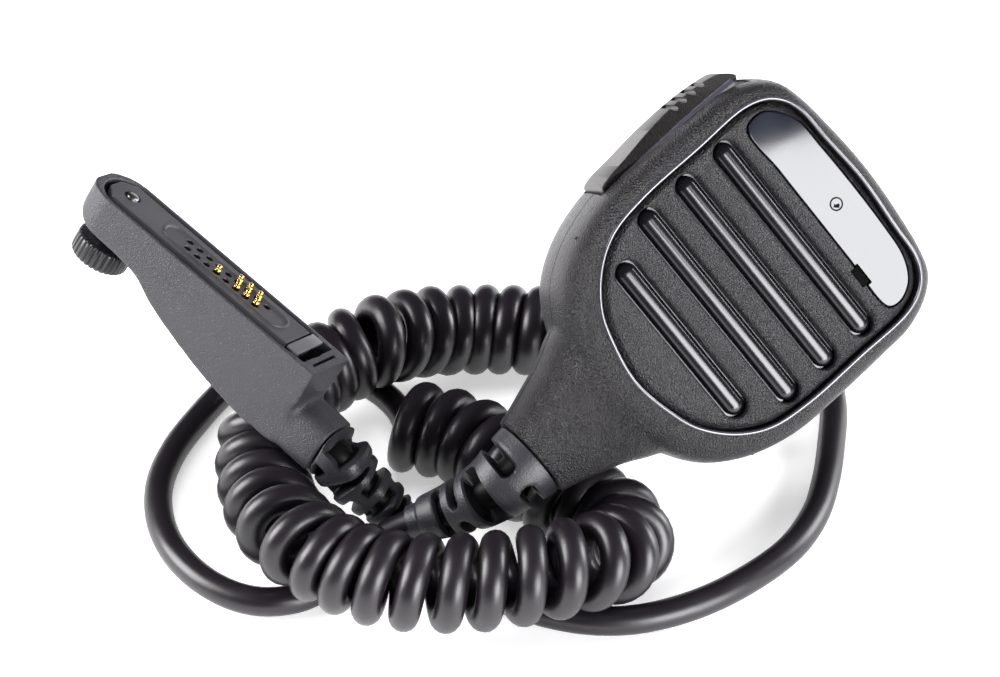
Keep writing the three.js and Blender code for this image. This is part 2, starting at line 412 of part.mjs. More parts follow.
add(plugGroup, "plug_seal", cut(prism(stadium(7.2, 50.0, 0, 5.9, 8), -2.2, -0.6), prism(stadium(7.2, 50.0, 0, 5.5, 8), -3, 0), box(46, 60, -5.55, 5.55, -3, 0)), ...RUBBER);
add(plugGroup, "contact_block", cut(box(13, 49.5, -4.8, 4.8, -4.95, -2.65), ...pinPlaces.map(([x, y]) => bar("z", 0.86, -4.6, -2, x, y, 8))), ...GLOSS);
pinPlaces.forEach(([x, y], i) => add(plugGroup, "contact_pin_" + (i + 1), turned([[0, -3.7], [PIN_RADIUS, -3.7], [PIN_RADIUS, 1.5], [PIN_RADIUS * 0.7, 1.9], [0, 2.05]], x, y, 8), ...GOLD));
add(plugGroup, "plug_board", box(23, 53.4, -4.6, 4.6, -7.6, -6.3), ...BOARD);
add(plugGroup, "plug_catch", unite(box(52.4, 53.3, -4.0, 4.0, -4.8, 0.2), box(51.7, 54.4, -4.9, 4.9, -0.35, 0.35)), ...STEEL);
const knobSides = 28;
const knobRing = (r, z) => Array.from({ length: knobSides }, (_, i) => { const a = (i / knobSides) * 2 * Math.PI, k = r - (i % 2 ? 0.35 : 0); return V(KNOB_X + k * Math.cos(a), k * Math.sin(a), z); });
add(plugGroup, "thumb_knob", cut(loft([knobRing(KNOB_RADIUS - 0.7, -15.4), knobRing(KNOB_RADIUS, -14.8), knobRing(KNOB_RADIUS, -11.1), knobRing(KNOB_RADIUS - 0.7, -10.5)]), bar("z", 1.85, -20, 0, KNOB_X, 0, 14)), ...CONNECTOR);
add(plugGroup, "knob_screw", turned([[0, -15.1], [1.4, -15.1], [1.4, 0.3], [1.1, 0.6], [0, 0.6]], KNOB_X, 0, 14), ...STEEL);
add(plugGroup, "screw_washer", turned([[1.8, -10.2], [3.2, -10.2], [3.2, -9.6], [1.8, -9.6], [1.8, -10.2]], KNOB_X, 0, 16), ...STEEL);
const plugAt = (x, z) => V(x, 0, z).applyMatrix4(PLUG);
const plugBoot = boot([plugAt(68.6, -13.9), plugAt(71, -14.0), ...RELIEF_PLUG.map(world)], [[0, 5.0], [1.6, 5.0], ...collars(2.4, 17.6, 5.0, 4.0, 3, 0.7), [17.8, 3.5], [99, 3.3]]);
const plugStem = loft([[55.4, 2.6], [69.2, 2.6]].map(([x, r]) => Array.from({ length: 12 }, (_, i) => V(x, r * Math.cos((i / 12) * 2 * Math.PI), -13.9 + r * Math.sin((i / 12) * 2 * Math.PI)).applyMatrix4(PLUG))));
add(cordGroup, "plug_strain_relief", unite(plugBoot, plugStem), ...RUBBER);

// ---------------------------------------------------------------- cord
class Route extends THREE.Curve {
  constructor(points) {
    super();
    this.inner = new THREE.CatmullRomCurve3(points.map(world), false, "centripetal");
    this.inner.arcLengthDivisions = 800;
  }
  getPoint(t, target) { return this.inner.getPointAt(t, target); }
}
// A plain round tube along a route.
function tube(points, radius, steps, sides) {
  const ring = new THREE.Shape(Array.from({ length: sides }, (_, i) => new THREE.Vector2(radius * Math.cos(((i + 0.5) / sides) * 2 * Math.PI), radius * Math.sin(((i + 0.5) / sides) * 2 * Math.PI))));
  return solid(new THREE.ExtrudeGeometry(ring, { steps, extrudePath: new Route(points), curveSegments: 1 }));
}
// One stretch of the coil: a fat tube whose inner side stays short of the bend's own centre.
const coilCurve = new Route(COIL_POINTS), coilLength = coilCurve.inner.getLength();
function coil(s0, s1, steps, sides = 12) {
  const rings = [];
  for (let k = 0; k <= steps; k++) {
    const s = s0 + ((s1 - s0) * k) / steps, t = s / coilLength, h = 1.5 / coilLength;
    const p = coilCurve.getPoint(t), d0 = coilCurve.inner.getTangentAt(Math.max(t - h, 0)), d1 = coilCurve.inner.getTangentAt(Math.min(t + h, 1));
    const d = coilCurve.inner.getTangentAt(t), bend = d1.clone().sub(d0), curvature = bend.length() / 3;
    const inward = curvature > 1e-4 ? bend.normalize() : V(0, 0, 0), reach = curvature > 1e-4 ? 1 / curvature - 1.2 : 1e9;
    const across = V(0, 0, 1).cross(d).normalize(), up = d.clone().cross(across);
    rings.push(Array.from({ length: sides }, (_, i) => {
      const a = ((i + 0.5) / sides) * 2 * Math.PI;
      const q = across.clone().multiplyScalar(COIL_RADIUS * Math.cos(a)).addScaledVector(up, COIL_RADIUS * Math.sin(a));
      const over = q.dot(inward) - reach;
      if (over > 0) q.addScaledVector(inward, -over);
      return q.add(p);
    }));
  }
  return loft(rings);
}
add(cordGroup, "cord_tail_mic", tube(TAIL_MIC, CORD_RADIUS, 24, 8), ...RUBBER);
add(cordGroup, "cord_tail_plug", tube(TAIL_PLUG, CORD_RADIUS, 26, 8), ...RUBBER);
const COIL_NAMES = ["coil_middle", "coil_bend", "coil_front", "coil_left", "coil_back"];
const COIL_STEPS = [6, 5, 8, 9, 9];
COIL_NAMES.forEach((name, i) => {
  const from = COIL_CUTS[i] + (i ? GAP / 2 : 0), to = i < 4 ? COIL_CUTS[i + 1] - GAP / 2 : coilLength - 5.6;
  add(cordGroup, name, coil(from, to, COIL_STEPS[i]), ...RUBBER);
});

export default part;
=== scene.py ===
"""Looks of the hand microphone: covers, grille, talk button, clip, curly cord and radio connector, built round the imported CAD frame."""
import math

import bmesh
import bpy
import numpy as np
from mathutils import Matrix, Vector
from mathutils.bvhtree import BVHTree


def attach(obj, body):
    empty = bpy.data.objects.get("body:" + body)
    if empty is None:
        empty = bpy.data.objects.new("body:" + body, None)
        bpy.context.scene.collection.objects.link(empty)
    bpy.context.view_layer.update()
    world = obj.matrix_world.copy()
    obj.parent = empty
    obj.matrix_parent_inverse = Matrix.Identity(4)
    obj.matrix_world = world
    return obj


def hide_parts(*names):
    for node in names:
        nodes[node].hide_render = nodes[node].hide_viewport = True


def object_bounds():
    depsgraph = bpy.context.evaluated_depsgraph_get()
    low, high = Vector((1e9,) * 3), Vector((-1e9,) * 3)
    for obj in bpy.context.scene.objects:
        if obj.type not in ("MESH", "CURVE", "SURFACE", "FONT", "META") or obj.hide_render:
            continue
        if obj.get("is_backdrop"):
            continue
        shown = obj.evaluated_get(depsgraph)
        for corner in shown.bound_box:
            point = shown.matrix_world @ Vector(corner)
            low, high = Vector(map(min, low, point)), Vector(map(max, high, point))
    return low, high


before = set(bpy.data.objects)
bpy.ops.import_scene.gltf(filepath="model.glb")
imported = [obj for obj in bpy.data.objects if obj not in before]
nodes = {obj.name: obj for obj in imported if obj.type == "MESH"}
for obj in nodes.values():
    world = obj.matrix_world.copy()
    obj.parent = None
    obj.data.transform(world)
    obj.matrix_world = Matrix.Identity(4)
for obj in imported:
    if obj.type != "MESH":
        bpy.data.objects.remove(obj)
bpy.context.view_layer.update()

# ------------------------------------------------------------------ camera
scene = bpy.context.scene
cam_data = bpy.data.cameras.new("camera")
camera = bpy.data.objects.new("camera", cam_data)
scene.collection.objects.link(camera)
cam_data.lens = 109.98
cam_data.sensor_width = 36.0
cam_data.sensor_fit = "HORIZONTAL"
cam_data.clip_start, cam_data.clip_end = 0.01, 20.0
camera.location = (-0.0321, -0.45685, 0.4178)
camera.rotation_euler = (math.radians(50.0), 0.0, 0.0)
scene.camera = camera

# ------------------------------------------------------------------ dimensions, in millimetres
OFFSET = np.array([-32.1, 41.05, 0.0])
MIC_TURN = [[0.62425, -0.30857, -0.7177], [0.74029, 0.52714, 0.41725], [0.24958, -0.79178, 0.5575]]
MIC_PLACE = [45.82, -48.64, 53.39]
PLUG_TURN = [[0.74891, -0.57138, -0.33565], [0.4391, 0.80723, -0.39443], [0.49631, 0.14801, 0.85543]]
PLUG_PLACE = [-77.3, -17.6, 56.45]
PARTING_Z = -11.0
WALL = 2.2
SLOT_Y = [14.0, 4.3, -5.4, -15.1]
SLOT_HALF = [21.3, 21.3, 21.3, 16.5]
SCREWS = [(18.5, 20.5), (-18.5, 20.5), (16, -17), (-16, -17)]
PTT_HINGE = (-28.6, -5.9)
PLUNGER_Y = 10.5
CLIP_ANGLE = math.atan2(-0.53, 0.85)
PINS = [[3, 1], [5, 0], [5, 1], [6, 0], [6, 1], [7, 0], [7, 1]]
EMPTY = [[0, 0], [1, 0], [2, 0], [3, 0], [4, 0], [8, 0], [0, 1], [1, 1], [2, 1], [4, 1]]
PIN_ROWS = [1.3, -1.3]
CORD_RADIUS = 2.85
STRAND_RADIUS = 6.65

COIL_POINTS = [
    [-20.7, -38.3, 9.55], [-17.7, -39.0, 9.55], [-12.6, -40.4, 9.55],
    [-7.0, -42.8, 9.55], [0.0, -48.1, 9.55], [6.9, -54.9, 9.55],
    [13.3, -60.1, 9.55], [19.1, -64.0, 9.65], [23.0, -68.9, 10.25],
    [24.0, -74.4, 11.25], [21.3, -79.9, 13.25], [16.2, -84.1, 15.35],
    [9.9, -86.8, 15.95], [4.7, -88.2, 15.95], [-2.4, -89.3, 15.65],
    [-9.9, -89.6, 15.45], [-17.8, -89.1, 15.45], [-24.4, -87.4, 15.45],
    [-30.1, -84.7, 15.65], [-35.6, -80.8, 15.85], [-40.6, -73.8, 14.35],
    [-44.2, -64.9, 11.55], [-46.4, -55.5, 10.25], [-47.1, -47.3, 10.25],
    [-46.2, -40.6, 11.55], [-43.0, -35.4, 13.65], [-38.1, -28.8, 14.05],
    [-32.0, -23.3, 14.45], [-26.2, -19.7, 15.35], [-20.6, -15.4, 13.65],
    [-14.5, -11.3, 11.45], [-8.5, -9.2, 10.05], [-2.7, -8.5, 9.65],
    [3.1, -8.7, 9.65], [9.4, -9.0, 9.65], [15.6, -9.3, 9.65],
    [21.0, -9.7, 9.65],
]
# length along the coil's centre line, turn of the strand in degrees
COIL_PHASE = [
    (1.3, 0), (8.25, 404), (14.25, 766), (48, 2808), (70, 4085), (87.25, 4994), (94.25, 5354), (101, 5714),
    (108.25, 6074), (114.5, 6432), (120.25, 6790), (125.75, 7146), (132, 7502), (140.5, 7856), (148.75, 8204),
    (155.5, 8554), (162, 8908), (168.5, 9258), (204.75, 11380), (211.5, 11736), (217.75, 12096), (224, 12458),
    (229.5, 12818), (235, 13180), (250.9, 14220),
]
TAIL_MIC = [
    [-23.5, -71.3, 8.9], [-30.5, -75.6, 4.6], [-37.3, -80.3, 3.0], [-44.1, -82.0, 2.98], [-49.9, -80.9, 2.98],
    [-57.0, -76.3, 2.98], [-63.4, -68.3, 2.98], [-67.1, -58.9, 2.98], [-68.0, -48.7, 2.98], [-65.8, -38.3, 2.98],
    [-61.5, -28.5, 2.98], [-57.0, -20.4, 2.98], [-51.8, -13.7, 2.98], [-45.8, -9.6, 2.98], [-39.5, -9.2, 2.98],
    [-33.3, -12.5, 2.98], [-28.0, -17.6, 2.98], [-23.2, -22.5, 2.98], [-20.0, -28.0, 2.98], [-18.8, -33.0, 2.98],
    [-18.6, -37.8, 2.98],
]
TAIL_PLUG = [
    [-13.0, -70.6, 3.5], [-5.5, -77.3, 3.0], [3.0, -82.4, 2.98], [11.5, -85.8, 2.96], [19.1, -87.1, 2.96],
    [26.9, -86.5, 2.96], [36.6, -83.1, 2.96], [46.3, -77.1, 2.98], [56.6, -67.4, 2.98], [62.3, -57.5, 2.98],
    [65.3, -47.3, 2.98], [67.2, -36.8, 2.98], [68.6, -24.5, 2.98], [67.4, -11.8, 2.98], [62.4, -1.0, 2.98],
    [54.3, 5.3, 2.98], [44.8, 7.3, 3.6], [36.0, 6.0, 6.6], [28.5, 2.2, 11.2], [23.2, -2.6, 15.0], [21.0, -8.2, 16.4],
]
RELIEF_MIC = [[-1.3, -70.3, 21.5], [-8.6, -69.7, 16.0], [-17.0, -69.6, 12.0]]
RELIEF_PLUG = [[-29.1, -61.1, 17.2], [-23.3, -62.6, 11.8], [-18.6, -63.6, 6.8]]


def matrix_of(turn, place):
    m = np.eye(4)
    m[:3, :3] = np.array(turn).T
    m[:3, 3] = np.array(place) + OFFSET
    return m


MIC = matrix_of(MIC_TURN, MIC_PLACE)
PLUG = matrix_of(PLUG_TURN, PLUG_PLACE)
c_, s_ = math.cos(CLIP_ANGLE), math.sin(CLIP_ANGLE)
CLIP = MIC @ np.array([[c_, -s_, 0, 0], [s_, c_, 0, 6], [0, 0, 1, 0], [0, 0, 0, 1.0]])
FREE = np.eye(4)


def through(m, p):
    p = np.atleast_2d(np.array(p, float))
    return p @ m[:3, :3].T + m[:3, 3]


# ------------------------------------------------------------------ curves
def spline(points, per=24, closed=False):
    """Centripetal Catmull-Rom line through points of any dimension."""
    p = np.array(points, float)
    if closed:
        e = np.vstack([p[-1:], p, p[:2]])
        spans = len(p)
    else:
        e = np.vstack([2 * p[0] - p[1], p, 2 * p[-1] - p[-2]])
        spans = len(p) - 1
    out = []
    for i in range(spans):
        a, b, c, d = e[i : i + 4]
        t0 = 0.0
        t1 = t0 + max(np.linalg.norm(b - a), 1e-9) ** 0.5
        t2 = t1 + max(np.linalg.norm(c - b), 1e-9) ** 0.5
        t3 = t2 + max(np.linalg.norm(d - c), 1e-9) ** 0.5
        t = np.linspace(t1, t2, per, endpoint=False)[:, None]
        a1 = (t1 - t) / (t1 - t0) * a + (t - t0) / (t1 - t0) * b
        a2 = (t2 - t) / (t2 - t1) * b + (t - t1) / (t2 - t1) * c
        a3 = (t3 - t) / (t3 - t2) * c + (t - t2) / (t3 - t2) * d
        b1 = (t2 - t) / (t2 - t0) * a1 + (t - t0) / (t2 - t0) * a2
        b2 = (t3 - t) / (t3 - t1) * a2 + (t - t1) / (t3 - t1) * a3
        out.append((t2 - t) / (t2 - t1) * b1 + (t - t1) / (t2 - t1) * b2)
    out = np.vstack(out)
    return out if closed else np.vstack([out, p[-1:]])


def evenly(line, count=None, step=None, closed=False):
    p = np.vstack([line, line[:1]]) if closed else line
    s = np.r_[0, np.cumsum(np.linalg.norm(np.diff(p, axis=0), axis=1))]
    if count is None:
        count = max(2, int(round(s[-1] / step)) + (0 if closed else 1))
    t = np.linspace(0, s[-1], count, endpoint=not closed)
    return np.array([np.interp(t, s, p[:, k]) for k in range(p.shape[1])]).T


def outline(points, count):
    return evenly(spline(points, 40, True), count, closed=True)


def monotone(knots, x):
    """Smooth rising line through knots (Fritsch-Carlson)."""
    k = np.array(knots, float)
    h, d = np.diff(k[:, 0]), np.diff(k[:, 1]) / np.diff(k[:, 0])
    m = np.r_[d[0], 2 * d[:-1] * d[1:] / np.maximum(d[:-1] + d[1:], 1e-9), d[-1]]
    i = np.clip(np.searchsorted(k[:, 0], x) - 1, 0, len(h) - 1)
    t = (x - k[i, 0]) / h[i]
    return (
        (2 * t**3 - 3 * t**2 + 1) * k[i, 1]
        + (t**3 - 2 * t**2 + t) * h[i] * m[i]
        + (-2 * t**3 + 3 * t**2) * k[i + 1, 1]
        + (t**3 - t**2) * h[i] * m[i + 1]
    )


def turns_of(line):
    """Tangent, side and up at each point of a line."""
    t = np.gradient(line, axis=0)
    t /= np.linalg.norm(t, axis=1)[:, None]
    side = np.cross(t, [0, 0, 1.0])
    side /= np.linalg.norm(side, axis=1)[:, None]
    return t, side, np.cross(side, t)


# ------------------------------------------------------------------ materials
def material(name, colour, rough, metal=0.0, grain=2600.0, bump=0.00006, strength=0.6, tint=0.25, spread=0.1, coat=0.0,
             specular=0.5, painted_glint=0.0, detail=3.0, cells=False):
    m = bpy.data.materials.new(name)
    m.use_nodes = True
    nt = m.node_tree
    nt.nodes.clear()
    out = nt.nodes.new("ShaderNodeOutputMaterial")
    sh = nt.nodes.new("ShaderNodeBsdfPrincipled")
    nt.links.new(sh.outputs[0], out.inputs[0])
    sh.inputs["Metallic"].default_value = metal
    sh.inputs["Specular IOR Level"].default_value = specular
    sh.inputs["Coat Weight"].default_value = coat
    sh.inputs["Coat Roughness"].default_value = 0.06
    co = nt.nodes.new("ShaderNodeTexCoord")
    fine = nt.nodes.new("ShaderNodeTexNoise")
    fine.inputs["Scale"].default_value = grain
    fine.inputs["Detail"].default_value = detail
    fine.inputs["Roughness"].default_value = 0.6
    broad = nt.nodes.new("ShaderNodeTexNoise")
    broad.inputs["Scale"].default_value = 90.0
    broad.inputs["Detail"].default_value = 4.0
    nt.links.new(co.outputs["Object"], fine.inputs["Vector"])
    nt.links.new(co.outputs["Object"], broad.inputs["Vector"])
    height = fine.outputs["Fac"]
    if cells:
        cell = nt.nodes.new("ShaderNodeTexVoronoi")
        cell.feature = "SMOOTH_F1"
        cell.inputs["Scale"].default_value = grain * 0.62
        cell.inputs["Smoothness"].default_value = 0.7
        nt.links.new(co.outputs["Object"], cell.inputs["Vector"])
        mixed = nt.nodes.new("ShaderNodeMath")
        mixed.operation = "SUBTRACT"
        nt.links.new(fine.outputs["Fac"], mixed.inputs[0])
        nt.links.new(cell.outputs["Distance"], mixed.inputs[1])
        height = mixed.outputs[0]
    bmp = nt.nodes.new("ShaderNodeBump")
    bmp.inputs["Strength"].default_value = strength
    bmp.inputs["Distance"].default_value = bump
    nt.links.new(height, bmp.inputs["Height"])
    nt.links.new(bmp.outputs[0], sh.inputs["Normal"])
    ramp = nt.nodes.new("ShaderNodeValToRGB")
    c = np.array(colour)
    ramp.color_ramp.elements[0].position = 0.3
    ramp.color_ramp.elements[0].color = (*(c * (1 - tint)), 1)
    ramp.color_ramp.elements[1].position = 0.7
    ramp.color_ramp.elements[1].color = (*(c * (1 + tint)), 1)
    both = nt.nodes.new("ShaderNodeMath")
    both.operation = "MULTIPLY_ADD"
    both.inputs[1].default_value = 0.5
    nt.links.new(fine.outputs["Fac"], both.inputs[0])
    half = nt.nodes.new("ShaderNodeMath")
    half.operation = "MULTIPLY"
    half.inputs[1].default_value = 0.5
    nt.links.new(broad.outputs["Fac"], half.inputs[0])
    nt.links.new(half.outputs[0], both.inputs[2])
    nt.links.new(both.outputs[0], ramp.inputs["Fac"])
    base = ramp.outputs["Color"]
    # light grey dots scattered into the base colour: painted glints of the grain
    if painted_glint > 0:
        glint_dots = nt.nodes.new("ShaderNodeTexVoronoi")
        glint_dots.inputs["Scale"].default_value = 900.0
        nt.links.new(co.outputs["Object"], glint_dots.inputs["Vector"])
        near = nt.nodes.new("ShaderNodeMath")
        near.operation = "LESS_THAN"
        near.inputs[1].default_value = 0.09
        nt.links.new(glint_dots.outputs["Distance"], near.inputs[0])
        few = nt.nodes.new("ShaderNodeMath")
        few.operation = "MULTIPLY"
        few.inputs[1].default_value = painted_glint
        nt.links.new(near.outputs[0], few.inputs[0])
        mix = nt.nodes.new("ShaderNodeMix")
        mix.data_type = "RGBA"
        mix.inputs["B"].default_value = (0.35, 0.35, 0.36, 1)
        nt.links.new(few.outputs[0], mix.inputs["Factor"])
        nt.links.new(base, mix.inputs["A"])
        base = mix.outputs["Result"]
    nt.links.new(base, sh.inputs["Base Color"])
    rr = nt.nodes.new("ShaderNodeMapRange")
    rr.inputs["To Min"].default_value = max(rough - spread, 0.02)
    rr.inputs["To Max"].default_value = rough + spread
    rr.inputs["From Min"].default_value = 0.3
    rr.inputs["From Max"].default_value = 0.7
    nt.links.new(broad.outputs["Fac"], rr.inputs["Value"])
    nt.links.new(rr.outputs[0], sh.inputs["Roughness"])
    return m


MAT = {
    "case": material("case_abs", (0.0062, 0.0052, 0.0066), 0.31, grain=3000, bump=0.00060, strength=1.0, spread=0.04, detail=1.0, tint=0.5, specular=0.38),
    "panel": material("panel_abs", (0.0075, 0.0068, 0.0088), 0.33, grain=3200, bump=0.00055, strength=1.0, spread=0.04, detail=1.0, tint=0.5, specular=0.42),
    # the talk button's light grey base is a painted lit side; its front-facing faces take a near-black copy as painted
    # shade
    "ptt": material("talk_abs_painted_lit", (0.040, 0.0385, 0.0385), 0.42, grain=2600, bump=0.00018, strength=0.8, spread=0.04),
    "talk_painted_shade": material("talk_front_painted_shade", (0.0040, 0.0028, 0.0034), 0.50, grain=3100, bump=0.00030, strength=1.0, spread=0.04, detail=1.0, tint=0.5, specular=0.25),
    "gloss": material("gloss_black", (0.003, 0.003, 0.0045), 0.21, grain=700, bump=0.000001, strength=0.2, spread=0.02),
    "label": material("label_gloss", (0.004, 0.006, 0.012), 0.045, grain=700, bump=0.0000004, strength=0.1, spread=0.012),
    # lighter bluish gloss for the bezel lip and talk button trim: real glossy edges whose lighter base colour is a
    # painted highlight
    "lip": material("lip_gloss_painted_highlight", (0.035, 0.035, 0.046), 0.2, grain=700, bump=0.000001, strength=0.2, spread=0.03, coat=0.9),
    # near-black, almost unreflecting finish for notches, hole floors and gaps: painted shade
    "painted_shade_black": material("deep_black_painted_shade", (0.0008, 0.0008, 0.0009), 0.8, grain=1200, bump=0.00001, strength=0.2, specular=0.05),
    "screw": material("screw_steel", (0.20, 0.195, 0.19), 0.33, 1.0, grain=900, bump=0.000006, strength=0.3, tint=0.12),
    # the connector's light grey dots are painted glints
    "connector": material("connector_soft", (0.0195, 0.0190, 0.0235), 0.45, grain=3400, bump=0.00022, strength=0.8, spread=0.05, painted_glint=0.28, detail=1.5),
    "plate": material("contact_plate", (0.034, 0.033, 0.037), 0.36, grain=3400, bump=0.00006, strength=0.5, spread=0.05),
    "relief": material("relief_soft", (0.0150, 0.0148, 0.0190), 0.40, grain=3400, bump=0.00014, strength=0.7, spread=0.05, detail=1.5),
    "cord": material("cord_pu", (0.0058, 0.0040, 0.0064), 0.36, grain=1300, bump=0.00004, strength=0.35, spread=0.05, tint=0.2, specular=0.5),
    "rubber": material("seal_rubber", (0.002, 0.002, 0.002), 0.5, grain=1800, bump=0.00002, strength=0.4, specular=0.15),
    "knob": material("knob_plastic", (0.0080, 0.0076, 0.0090), 0.32, grain=2600, bump=0.00004, strength=0.4, spread=0.05),
    "cone": material("cone_fibre", (0.05, 0.045, 0.04), 0.8, grain=1400, bump=0.00008, strength=0.8),
    "steel": material("steel", (0.50, 0.49, 0.48), 0.27, 1.0, grain=900, bump=0.000006, strength=0.3, tint=0.08),
    "aluminium": material("aluminium", (0.62, 0.62, 0.64), 0.3, 1.0, grain=1200, bump=0.000006, strength=0.3, tint=0.08),
    "gold": material("gold_plate", (0.95, 0.62, 0.16), 0.16, 1.0, grain=1500, bump=0.000004, strength=0.2, tint=0.08, spread=0.04),
    "board": material("board_mask", (0.012, 0.075, 0.03), 0.35, grain=900, bump=0.00001, strength=0.4),
    "catch": material("catch_plastic", (0.075, 0.075, 0.08), 0.36, grain=2200, bump=0.00002, strength=0.3, spread=0.05),
}


# ------------------------------------------------------------------ solids, in millimetres until they are placed
def thing(name, verts, faces):
    me = bpy.data.meshes.new(name)
    me.from_pydata([tuple(map(float, v)) for v in verts], [], faces)
    me.validate()
    ob = bpy.data.objects.new(name, me)
    scene.collection.objects.link(ob)
    return ob


def outward(ob):
    bm = bmesh.new()
    bm.from_mesh(ob.data)
    bmesh.ops.recalc_face_normals(bm, faces=bm.faces)
    if bm.calc_volume(signed=True) < 0:
        bmesh.ops.reverse_faces(bm, faces=bm.faces)
    bm.to_mesh(ob.data)
    bm.free()
    return ob


def loft(name, rings, closed_line=False):
    rings = [np.array(r, float) for r in rings]
    n, k = len(rings[0]), len(rings)
    faces = []
    for j in range(k if closed_line else k - 1):
        a, b = j * n, ((j + 1) % k) * n
        for i in range(n):
            i2 = (i + 1) % n
            faces.append((a + i, a + i2, b + i2, b + i))
    if not closed_line:
        faces.append(tuple(range(n))[::-1])
        faces.append(tuple(range((k - 1) * n, k * n)))
    return outward(thing(name, np.vstack(rings), faces))


def flat(points, z):
    p = np.array(points, float)
    return np.c_[p[:, :2], np.full(len(p), z)]


def inset(points, d):
    """A closed outline moved inwards by d along its own normals."""
    p = np.array(points, float)[:, :2]
    t = np.roll(p, -1, 0) - np.roll(p, 1, 0)
    t /= np.maximum(np.linalg.norm(t, axis=1)[:, None], 1e-9)
    nrm = np.c_[t[:, 1], -t[:, 0]]
    area = 0.5 * np.sum(p[:, 0] * np.roll(p[:, 1], -1) - np.roll(p[:, 0], -1) * p[:, 1])
    return p - nrm * d * (1 if area > 0 else -1)


def plate(name, points, z0, z1, r=0.3, low=None, steps=5):
    """A flat piece with rounded upper and lower edges."""
    low = r if low is None else low
    rings = []
    for a in np.linspace(math.pi / 2, 0, steps + 1) if low > 0 else [0]:
        rings.append(flat(inset(points, low * (1 - math.cos(a))), z0 + low * (1 - math.sin(a))))
    for a in np.linspace(0, math.pi / 2, steps + 1) if r > 0 else [0]:
        rings.append(flat(inset(points, r * (1 - math.cos(a))), z1 - r * (1 - math.sin(a))))
    if r > 0:
        rings.append(flat(inset(points, r + 0.06), z1))
    return loft(name, rings)


def stadium(x0, x1, y, half, steps=20):
    a = np.linspace(-math.pi / 2, math.pi / 2, steps + 1)
    right = np.c_[x1 + half * np.cos(a), y + half * np.sin(a)]
    left = np.c_[x0 - half * np.cos(a), y - half * np.sin(a)]
    return np.vstack([right, left])


def rounded(x0, x1, y0, y1, r, steps=6):
    out = []
    for cx, cy, a0 in ((x1 - r, y0 + r, -90), (x1 - r, y1 - r, 0), (x0 + r, y1 - r, 90), (x0 + r, y0 + r, 180)):
        for i in range(steps + 1):
            a = math.radians(a0 + 90 * i / steps)
            out.append((cx + r * math.cos(a), cy + r * math.sin(a)))
    return np.array(out)


def lathe(name, profile, x=0.0, y=0.0, sides=48, wave=None):
    """Turned about a line along Z; the profile runs from axis to axis."""
    prof = [(r, z) for r, z in profile]
    a = np.arange(sides) / sides * 2 * math.pi
    rings, tops = [], []
    for r, z in prof:
        rr = np.full(sides, r) if wave is None or r < 1e-6 else wave(a, r, z)
        rings.append(np.c_[x + rr * np.cos(a), y + rr * np.sin(a), np.full(sides, z)])
    verts, faces, start = [], [], []
    for (r, z), ring in zip(prof, rings):
        start.append((len(verts), r < 1e-6))
        if r < 1e-6:
            verts.append((x, y, z))
        else:
            verts.extend(map(tuple, ring))
    for (s0, p0), (s1, p1) in zip(start, start[1:]):
        for i in range(sides):
            j = (i + 1) % sides
            if p0 and p1:
                continue
            if p0:
                faces.append((s0, s1 + i, s1 + j))
            elif p1:
                faces.append((s0 + i, s1, s0 + j))
            else:
                faces.append((s0 + i, s1 + i, s1 + j, s0 + j))
    if not start[0][1]:
        (s0, _), (s1, _) = start[-1], start[0]
        if abs(prof[0][0] - prof[-1][0]) < 1e-6 and abs(prof[0][1] - prof[-1][1]) < 1e-6:
            verts = verts[:s0]
            faces = [tuple(v if v < s0 else v - s0 for v in f) for f in faces]
    return outward(thing(name, verts, faces))


def rod(name, axis, radius, a, b, u, v, sides=40, soft=0.0):
    """A round bar along an axis between two places, with softened ends."""
    prof = [(0, a), (radius - soft, a)]
    if soft > 0:
        prof += [(radius - soft * 0.3, a + soft * 0.3), (radius, a + soft), (radius, b - soft), (radius - soft * 0.3, b - soft * 0.3)]
    else:
        prof += [(radius, a)] if False else []
    prof += [(radius - soft, b), (0, b)]
    ob = lathe(name, prof, 0, 0, sides)
    co = coords(ob)
    if axis == "z":
        co = np.c_[co[:, 0] + u, co[:, 1] + v, co[:, 2]]
    elif axis == "x":
        co = np.c_[co[:, 2], co[:, 0] + u, co[:, 1] + v]
    else:
        co = np.c_[co[:, 1] + u, co[:, 2], co[:, 0] + v]
    put(ob, co)
    return outward(ob)


def block(name, x0, x1, y0, y1, z0, z1, r=0.0, seg=3):
    bm = bmesh.new()
    bmesh.ops.create_cube(bm, size=1.0)
    for v in bm.verts:
        v.co = Vector(((x0 + x1) / 2 + v.co.x * (x1 - x0), (y0 + y1) / 2 + v.co.y * (y1 - y0), (z0 + z1) / 2 + v.co.z * (z1 - z0)))
    if r > 0:
        bmesh.ops.bevel(bm, geom=list(bm.edges), offset=r, segments=seg, profile=0.5, affect="EDGES")
    me = bpy.data.meshes.new(name)
    bm.to_mesh(me)
    bm.free()
    ob = bpy.data.objects.new(name, me)
    scene.collection.objects.link(ob)
    return ob


def coords(ob):
    co = np.zeros(len(ob.data.vertices) * 3)
    ob.data.vertices.foreach_get("co", co)
    return co.reshape(-1, 3)


def put(ob, co):
    ob.data.vertices.foreach_set("co", np.ascontiguousarray(co, dtype=np.float32).ravel())
    ob.data.update()


def bake(ob):
    dg = bpy.context.evaluated_depsgraph_get()
    made = bpy.data.meshes.new_from_object(ob.evaluated_get(dg))
    old = ob.data
    ob.modifiers.clear()
    ob.data = made
    bpy.data.meshes.remove(old)
    return ob


def drop(ob):
    me = ob.data
    bpy.data.objects.remove(ob)
    if me.users == 0:
        bpy.data.meshes.remove(me)


